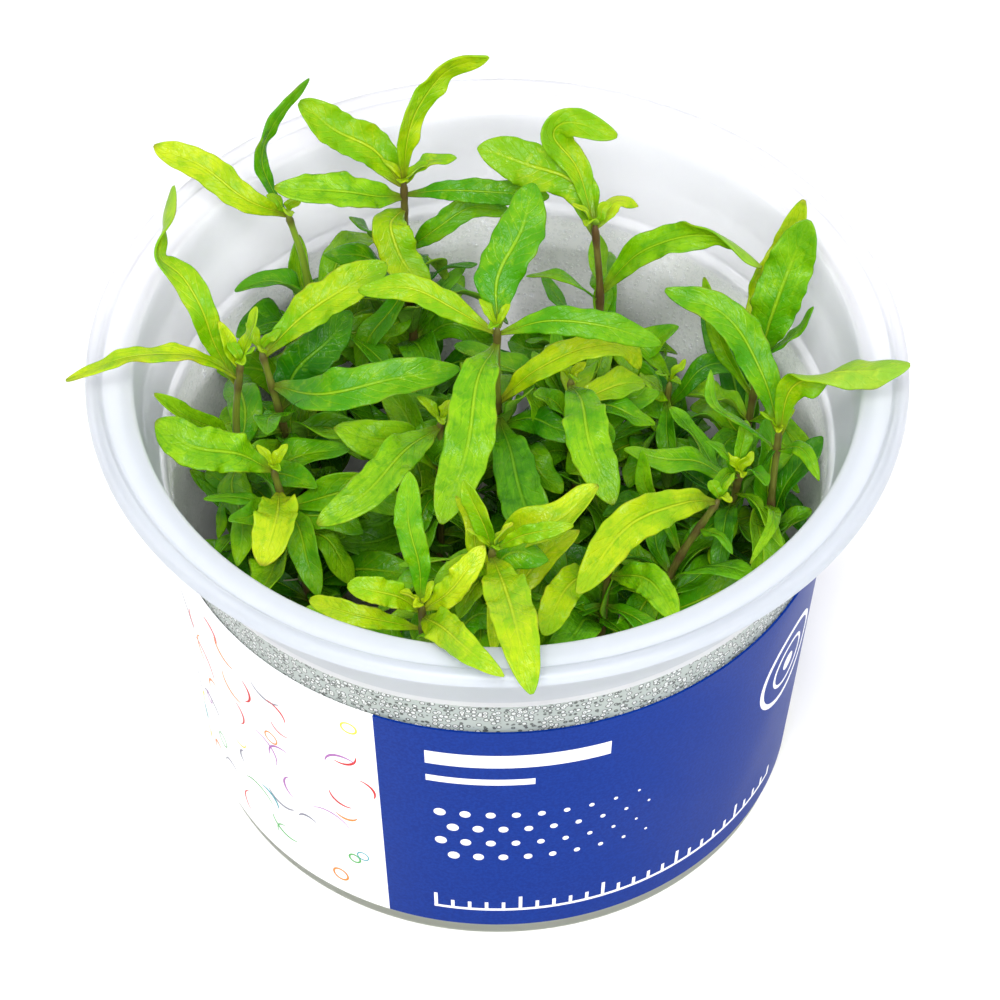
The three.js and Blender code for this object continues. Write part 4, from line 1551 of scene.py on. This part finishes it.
@dataclass(frozen=True)
class BladeForm:
    """How a leaf's sheet is cut and bent, in shares of its width and length."""

    columns: int = 6
    rows: int = 22
    fold: float = 0.22
    wave: float = 0.12
    waves: float = 3.2
    notch: float = 0.06
    curl: float = 0.12
    stalk: float = 0.13
    sway: float = 0.16
    roll: float = 14
    twist_over: float = 0.22
    fullness: float = 0.62
    tip: float = 0.06
    belly: Limits = (0.4, 0.58)
    blunt: Limits = (1.9, 3.6)

    def half_width(self, share: Array, belly: float, blunt: float) -> Array:
        """Half the width at shares of the length, as a share of the full width.

        Args:
            share: Shares of the length.
            belly: Where the blade is widest.
            blunt: How round its tip is, from 1 for a pointed one.

        Returns:
            One half width for each share.
        """
        rise = np.clip(share / belly, 0, 1)
        base = self.stalk + (1 - self.stalk) * rise**1.35 * (2.35 - 1.35 * rise)
        past = np.clip((share - belly) / (1 - belly), 0, 1)
        return 0.5 * base * np.maximum((1 - past**blunt) ** self.fullness, self.tip)

    def add(self, bm: Mesh, leaf: Grown, plan: LeafPlan | None, shade: Shade, draw: Stream) -> None:
        """Add one leaf's sheet, upper side up, bent along its curve.

        Args:
            bm: The mesh that takes it, with a `tint` layer and a UV layer.
            leaf: Its curve, width and face.
            plan: Its plan, for its twist, or None.
            shade: Its age and painted shade, which set its material.
            draw: The stream of its variation.
        """
        tint_layer = bm.verts.layers.float["tint"]
        uv_layer = bm.loops.layers.uv["UVMap"]
        verts = bmesh.ops.create_grid(
            bm, x_segments=self.columns, y_segments=self.rows, size=0.5)["verts"]
        for face in {face for vert in verts for face in vert.link_faces}:
            face.material_index = shade.value
            for loop in face.loops:
                loop[uv_layer].uv = (loop.vert.co.x + 0.5, loop.vert.co.y + 0.5)
        flat = np.array([vert.co for vert in verts])
        side, share = flat[:, 0] * 2, np.clip(flat[:, 1] + 0.5, 0, 1)
        middle = np.sin(np.pi * share)
        along = leaf.spine.along(share)
        face_way = np.array(leaf.face, float)
        normal = face_way - along * (along @ face_way)[:, None]
        normal /= np.linalg.norm(normal, axis=1)[:, None]
        twist, twist_at = (math.radians(plan.twist), plan.twist_at) if plan else (0.0, 0.5)
        eased = np.clip((share - twist_at + self.twist_over) / (2 * self.twist_over), 0, 1)
        eased = eased * eased * (3 - 2 * eased)
        turn = twist * eased + math.radians(draw.between(-self.roll, self.roll)) * middle
        normal = normal * np.cos(turn)[:, None] + np.cross(along, normal) * np.sin(turn)[:, None]
        across = np.cross(along, normal)
        half = self.half_width(share, draw.between(*self.belly), draw.between(*self.blunt))
        reach = half * leaf.width
        phases = [
            np.where(side > 0, draw.between(0, 6.3), draw.between(0, 6.3)) for _ in range(3)]
        turns = 2 * np.pi * self.waves * draw.between(0.8, 1.3) * share
        wave = np.sin(turns + phases[0]) + 0.5 * np.sin(1.9 * turns + phases[1])
        reach = reach * (1 + self.notch * np.sin(2.7 * turns + phases[2]) * middle)
        open_way = self.fold * draw.between(0.3, 1.5) * np.abs(side) ** 1.4
        edge = self.wave * leaf.width * wave * np.abs(side) ** 1.7 * middle
        bend = self.curl * draw.between(-1.2, 1.6)
        rise = open_way * reach - bend * reach * side**4 + edge
        sway = self.sway * leaf.width * draw.between(-1, 1) * np.sin(2 * np.pi * share) * middle
        placed = (
            leaf.spine.at(share) + across * (side * reach + sway)[:, None]
            + normal * rise[:, None])
        tint = draw.between(0.05, 0.95)
        for vert, place in zip(verts, placed):
            vert.co = place * MM
            vert[tint_layer] = tint


def leaf_mesh() -> Mesh:
    """An empty mesh with the layers that leaves need."""
    bm = bmesh.new()
    bm.verts.layers.float.new("tint")
    bm.loops.layers.uv.new("UVMap")
    return bm


def finish_leaves(name: str, bm: Mesh, materials: list, thickness: float) -> Piece:
    """Give leaf sheets their thickness and soft edges.

    Args:
        name: The object's name.
        bm: The sheets.
        materials: The upper side's and the underside's material of each shade, in turn.
        thickness: The thickness in millimetres.

    Returns:
        The object.
    """
    piece = mesh_object(name, bm, materials)
    add_modifier(piece, "SOLIDIFY", thickness=thickness * MM, offset=-1.0, material_offset=1)
    add_modifier(piece, "SUBSURF", levels=1, render_levels=1)
    return piece


def straight_tube(bm: Mesh, sides: int, sections: int) -> list:
    """Add a closed tube of unit radius and height, standing on the origin.

    Args:
        bm: The mesh that takes it.
        sides: The number of its sides.
        sections: The number of its sections.

    Returns:
        Its vertices.
    """
    verts = bmesh.ops.create_circle(bm, cap_ends=True, segments=sides, radius=1)["verts"]
    edges = list({edge for vert in verts for edge in vert.link_edges})
    for _ in range(sections):
        out = bmesh.ops.extrude_edge_only(bm, edges=edges)["geom"]
        edges = [item for item in out if isinstance(item, bmesh.types.BMEdge)]
        fresh = [item for item in out if isinstance(item, bmesh.types.BMVert)]
        bmesh.ops.translate(bm, verts=fresh, vec=(0, 0, 1 / sections))
        verts += fresh
    bmesh.ops.contextual_create(bm, geom=edges)
    return verts


def bend_tube(verts: list, spine: Spine, radius: Array) -> None:
    """Bend a straight tube along a curve.

    Args:
        verts: Its vertices, as `straight_tube` gives them.
        spine: The curve, in millimetres.
        radius: The tube's radius at each vertex, in millimetres.
    """
    x, y, z = np.array([vert.co for vert in verts], float).T
    share = np.clip(z, 0, 1)
    along = spine.along(share)
    across = np.cross(along, (0.1, 1, 0.05))
    across /= np.linalg.norm(across, axis=1)[:, None]
    other = np.cross(across, along)
    placed = spine.at(share) + across * (x * radius)[:, None] + other * (y * radius)[:, None]
    for vert, place in zip(verts, placed):
        vert.co = place * MM


@dataclass(frozen=True)
class StemForm:
    """The round stem with a swollen joint under each pair of leaves."""

    base_radius: float = 0.7
    tip_radius: float = 0.4
    sides: int = 10
    sections: int = 46
    joint_swell: float = 0.28
    joint_reach: float = 0.9
    end_share: float = 0.4

    def build(self, shoot: Shoot, skin: Material) -> Piece:
        """Build one stem in place of its node.

        Args:
            shoot: The shoot.
            skin: The stem's material.

        Returns:
            The object.
        """
        bm = bmesh.new()
        joint_layer = bm.verts.layers.float.new("joint")
        green_layer = bm.verts.layers.float.new("green")
        verts = straight_tube(bm, self.sides, self.sections)
        share = np.clip(np.array([vert.co.z for vert in verts], float), 0, 1)
        heights = shoot.stem.at(share)[:, 2]
        joints = np.array([*(g.height for g in shoot.by_hand + shoot.pairs), 0.0])
        near = np.min(np.abs(heights[:, None] - joints[None, :]), axis=1)
        swell = np.exp(-((near / self.joint_reach) ** 2))
        radius = self.base_radius + (self.tip_radius - self.base_radius) * share
        radius = radius * (1 + self.joint_swell * swell)
        radius = radius * np.where(share > 0.999, self.end_share, 1)
        for vert, level in zip(verts, swell):
            vert[joint_layer] = float(level)
            vert[green_layer] = shoot.plan.green
        bend_tube(verts, shoot.stem, radius)
        piece = mesh_object(f"{shoot.plan.name}_stem", face_outward(bm), [skin])
        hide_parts(f"{shoot.plan.name}_shoot_stem")
        return piece


@dataclass
class Shoots:
    """Every stem and leaf of the plant."""

    growth: Growth
    skins: list
    stems: StemForm = StemForm()
    named: BladeForm = BladeForm(columns=8, rows=30)
    small: BladeForm = BladeForm(
        columns=4, rows=12, waves=1.9, wave=0.16, fold=0.35, curl=0.25, sway=0.3, roll=50,
        belly=(0.38, 0.62), blunt=(1.5, 2.8))
    named_thickness: float = 0.32
    small_thickness: float = 0.24
    bud_leaves: int = 3
    bright_from: float = 0.85
    green_from: float = 0.3
    bright_sprig_from: float = 60
    seed: int = 90210

    def _named_leaf(self, shoot: Shoot, index: int, draw: Stream) -> Piece:
        """Build one listed leaf, in place of its node.

        Args:
            shoot: Its shoot.
            index: Its index on the shoot.
            draw: The stream of its variation.

        Returns:
            The object.
        """
        plan = shoot.plan.leaves[index]
        spine = spine_from(shoot.stem, plan.at, plan.via, self.stems.tip_radius * 0.5)
        bm = leaf_mesh()
        self.named.add(bm, Grown(spine, plan.width, plan.at, plan.face), plan, BRIGHT, draw)
        pair = self.skins[plan.shade.value:plan.shade.value + 2]
        piece = finish_leaves(
            f"{shoot.plan.name}_leaf_{index + 1}", bm, pair, self.named_thickness)
        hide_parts(f"{shoot.plan.name}_shoot_leaf_{index + 1}")
        return piece

    def _bud(self, shoot: Shoot, draw: Stream) -> list[Grown]:
        """Tiny leaves that close the shoot's tip.

        Args:
            shoot: The shoot.
            draw: The stream of their variation.

        Returns:
            The leaves.
        """
        tip = shoot.stem.at([1.0])[0]
        buds = []
        for step in range(self.bud_leaves):
            azimuth = draw.between(0, 1) + step * 2 * math.pi / self.bud_leaves
            way = np.array([math.cos(azimuth), math.sin(azimuth), 0.0])
            reach = draw.between(2.0, 3.6)
            middle = tip + way * reach * 0.35 + np.array([0, 0, reach * 0.5])
            end = tip + way * reach * 0.9 + np.array([0, 0, reach * 0.75])
            buds.append(Grown(Spine([tip, middle, end]), draw.between(1.0, 1.6), float(tip[2])))
        return buds

    def _shade_at(self, height: float, draw: Stream) -> Shade:
        """A small leaf's shade: deeper the lower it grows, as painted shade under the upper leaves.

        Args:
            height: The height at which it starts.
            draw: The stream of its variation.

        Returns:
            The shade.
        """
        # Painted shade: the lower a leaf starts, the deeper its skin.
        level = (height - 30) / 34 + draw.between(-0.3, 0.3)
        if level > self.bright_from:
            return BRIGHT
        return GREEN if level > self.green_from else DEEP

    def _small_leaves(self, shoot: Shoot, draw: Stream) -> Piece:
        """Build a shoot's small leaves as one mesh.

        Args:
            shoot: The shoot.
            draw: The stream of their variation.

        Returns:
            The object.
        """
        bm = leaf_mesh()
        for leaf, plan in zip(shoot.sprigs, shoot.plan.sprigs):
            shade = BRIGHT if leaf.height > self.bright_sprig_from else GREEN
            self.small.add(bm, leaf, plan, shade, draw)
        for leaf in shoot.pairs + shoot.fillers:
            self.small.add(bm, leaf, None, self._shade_at(leaf.height, draw), draw)
        for leaf in self._bud(shoot, draw):
            self.small.add(bm, leaf, None, BRIGHT, draw)
        piece = finish_leaves(
            f"{shoot.plan.name}_small_leaves", bm, self.skins, self.small_thickness)
        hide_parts(f"{shoot.plan.name}_shoot_stem")
        return piece

    def build(self, stem_skin: Material) -> list[Piece]:
        """Build every stem and leaf.

        Args:
            stem_skin: The stems' material.

        Returns:
            The objects.
        """
        draw = Stream(self.seed)
        pieces = []
        for shoot in self.growth.shoots:
            pieces.append(self.stems.build(shoot, stem_skin))
            pieces += [self._named_leaf(shoot, i, draw) for i in range(len(shoot.leaves))]
            pieces.append(self._small_leaves(shoot, draw))
        return pieces


@dataclass(frozen=True)
class Roots:
    """Fine roots: some in the jelly and a few in the air low on the stems."""

    growth: Growth
    in_jelly: int = 3
    in_air: int = 2
    radius: float = 0.13
    thinning: float = 0.6
    bends: int = 4
    sides: int = 5
    sections: int = 12
    seed: int = 733

    def _route(self, start: Array, azimuth: float, length: float, drop: float,
               draw: Stream) -> Spine:
        """A wandering curve from a stem.

        Args:
            start: Where it leaves the stem.
            azimuth: The way that it heads, in radians.
            length: Its length.
            drop: How far it ends below its start.
            draw: The stream of its variation.

        Returns:
            The curve.
        """
        points = [start]
        for _ in range(self.bends):
            azimuth += draw.between(-0.5, 0.5)
            way = np.array([math.cos(azimuth), math.sin(azimuth), -drop / length])
            wander = np.array([0, 0, draw.between(-0.3, 0.3)])
            points.append(points[-1] + way * length / self.bends + wander)
        return Spine(points)

    def _tube(self, bm: Mesh, spine: Spine) -> None:
        """Add a tube along a curve, thinner towards its end.

        Args:
            bm: The mesh that takes it.
            spine: The curve.
        """
        verts = straight_tube(bm, self.sides, self.sections)
        share = np.array([vert.co.z for vert in verts], float)
        bend_tube(verts, spine, self.radius * (1 - self.thinning * share))

    def build(self, skin: Material) -> Piece:
        """Build all the roots as one mesh of thin tubes.

        Args:
            skin: Their material.

        Returns:
            The object.
        """
        draw = Stream(self.seed)
        bm = bmesh.new()
        for shoot in self.growth.shoots:
            for index in range(self.in_jelly + self.in_air):
                heights, drops, lengths = (
                    ((24, 42), (2, 6), (5, 10)) if index >= self.in_jelly
                    else ((7.2, 8.4), (1, 4.5), (4, 8)))
                start = shoot.stem.at_height(draw.between(*heights))
                drop, length = draw.between(*drops), draw.between(*lengths)
                self._tube(bm, self._route(start, draw.between(0, 6.28), length, drop, draw))
        piece = mesh_object("fine_roots", face_outward(bm), [skin])
        return piece


@dataclass(frozen=True)
class DropField:
    """A field of drops on the tub's inner wall between two heights and two directions."""

    low: float
    high: float
    start: float
    end: float
    count: int
    smallest: float
    largest: float


@dataclass(frozen=True)
class Condensation:
    """Drops of condensed water on the inside of the taper."""

    sizes: TubSizes
    fields: tuple[DropField, ...] = (
        DropField(44.8, 51.2, -180, 180, 1500, 0.16, 0.42),
        DropField(30, 51.4, 35, 145, 1000, 0.12, 0.4),
    )
    flatness: float = 0.45
    sunk: float = 0.02
    few_large: float = 2.2
    seed: int = 5150

    def build(self, water: Material) -> Piece:
        """Build all the drops as one mesh, flat side on the wall.

        Args:
            water: Their material.

        Returns:
            The object.
        """
        draw = Stream(self.seed)
        bead = bmesh.new()
        bmesh.ops.create_uvsphere(bead, u_segments=7, v_segments=4, radius=1)
        mesh = mesh_of("bead", bead, [])
        shape = np.array([vert.co for vert in mesh.vertices], float)
        bm = bmesh.new()
        for field in self.fields:
            for _ in range(field.count):
                height = draw.between(field.low, field.high)
                angle = math.radians(draw.between(field.start, field.end))
                spread = draw.next() ** self.few_large
                size = field.smallest + (field.largest - field.smallest) * spread
                radius = self.sizes.inner_radius(height) - self.sunk
                cos, sin = math.cos(angle), math.sin(angle)
                inward, side = np.array([-cos, -sin, 0.0]), np.array([-sin, cos, 0.0])
                place = -inward * radius + np.array([0, 0, height]) + (
                    shape[:, :1] * side + shape[:, 1:2] * np.array([0, 0, 1.0])
                    + shape[:, 2:] * inward * self.flatness) * size
                mesh.vertices.foreach_set("co", (place * MM).ravel())
                bm.from_mesh(mesh)
        bpy.data.meshes.remove(mesh)
        piece = mesh_object("condensation", face_outward(bm), [water])
        return piece


@dataclass(frozen=True)
class SoftLight:
    """One soft area light aimed at the plant."""

    name: str
    place: Point
    size: tuple[float, float]
    power: float
    aim: Point = (0, 0, 0.05)

    def build(self) -> None:
        """Hang the light."""
        lamp = bpy.data.lights.new(self.name, "AREA")
        lamp.shape = "RECTANGLE"
        lamp.size, lamp.size_y = self.size
        lamp.energy = self.power
        hung = linked(self.name, lamp)
        hung.location = self.place
        way = Vector(self.aim) - Vector(self.place)
        hung.rotation_euler = way.to_track_quat("-Z", "Y").to_euler()


@dataclass(frozen=True)
class Studio:
    """Pale floor, soft lights and the camera at the photograph's angle."""

    elevation: float = 48.2
    lens: float = 216
    sensor: float = 36
    clip: Limits = (0.05, 20)
    eye: Point = (0.00033, -0.4972, 0.5973)
    sky: float = 0.9
    floor_half: float = 3
    lights: tuple[SoftLight, ...] = (
        SoftLight("key_softbox", (-0.08, -0.34, 0.72), (0.16, 0.16), 2.4),
        SoftLight("fill_softbox", (0.12, -0.62, 0.58), (0.45, 0.35), 3.0),
    )

    def build(self) -> None:
        """Lay the floor, hang the lights and place the camera."""
        scene = bpy.context.scene
        bm = bmesh.new()
        bmesh.ops.create_grid(bm, x_segments=4, y_segments=4, size=self.floor_half)
        paper = StudioPaper().build("studio_paper")
        floor = linked("studio_floor", mesh_of("studio_floor", bm, [paper]))
        for light in self.lights:
            light.build()
        world = bpy.data.worlds.new("studio_sky")
        world.use_nodes = True
        background = world.node_tree.nodes["Background"]
        background.inputs["Color"].default_value = (1, 1, 1, 1)
        background.inputs["Strength"].default_value = self.sky
        scene.world = world
        lens = bpy.data.cameras.new("photo_camera")
        lens.lens, lens.sensor_width = self.lens, self.sensor
        lens.clip_start, lens.clip_end = self.clip
        camera = linked("photo_camera", lens)
        camera.location = self.eye
        camera.rotation_euler = (math.radians(90 - self.elevation), 0, 0)
        scene.camera = camera
        scene.view_settings.view_transform = "Standard"


# Thin translucent walls, which throw no shadow on what they hold.
LETS_LIGHT_IN = ("tub_moulding", "printed_label", "condensation")


def main() -> None:
    """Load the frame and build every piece."""
    logging.basicConfig(level=logging.INFO, format="%(message)s")
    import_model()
    Studio().build()

    growth = Growth(SIZES)
    taken = growth.grow(LOWER_PAIRS, "pairs")
    growth.grow(FILLING_PAIRS, "fillers", taken)
    leaf_skins = []
    for shade, skin in SKINS.items():
        leaf_skins.append(skin.build(f"{shade.slot}_upper"))
        leaf_skins.append(skin.build(f"{shade.slot}_under", under=True))
    white_film = Print((0.95, 0.95, 0.965), (0.88, 0.88, 0.9)).build("label_white")
    blue_film = Print((0.0003, 0.021, 0.2), (0.003, 0.038, 0.28)).build("label_blue")
    white_ink = Print((0.93, 0.93, 0.95), (0.85, 0.85, 0.88)).build("ink_white")
    inks = [
        Print(colour, tuple(level * 0.8 for level in colour)).build(f"ink_{name}")
        for name, colour in INKS.items()]
    label = Label(SIZES)
    pieces = [
        Tub(SIZES).build(TubPlastic().build("tub_plastic")),
        label.build(white_film, blue_film),
        *LabelPrint(label).build(white_ink, inks),
        Jelly(SIZES).build(Gel().build("culture_gel")),
        *Shoots(growth, leaf_skins).build(StemSkin().build("stem_skin")),
        Roots(growth).build(RootSkin().build("root_skin")),
        Condensation(SIZES).build(Water().build("water_drops")),
    ]
    for piece in pieces:
        LOG.info("%s: %d faces", piece.name, len(piece.data.polygons))
        if piece.name in LETS_LIGHT_IN:
            piece.visible_shadow = False


if __name__ == "__main__":
    main()
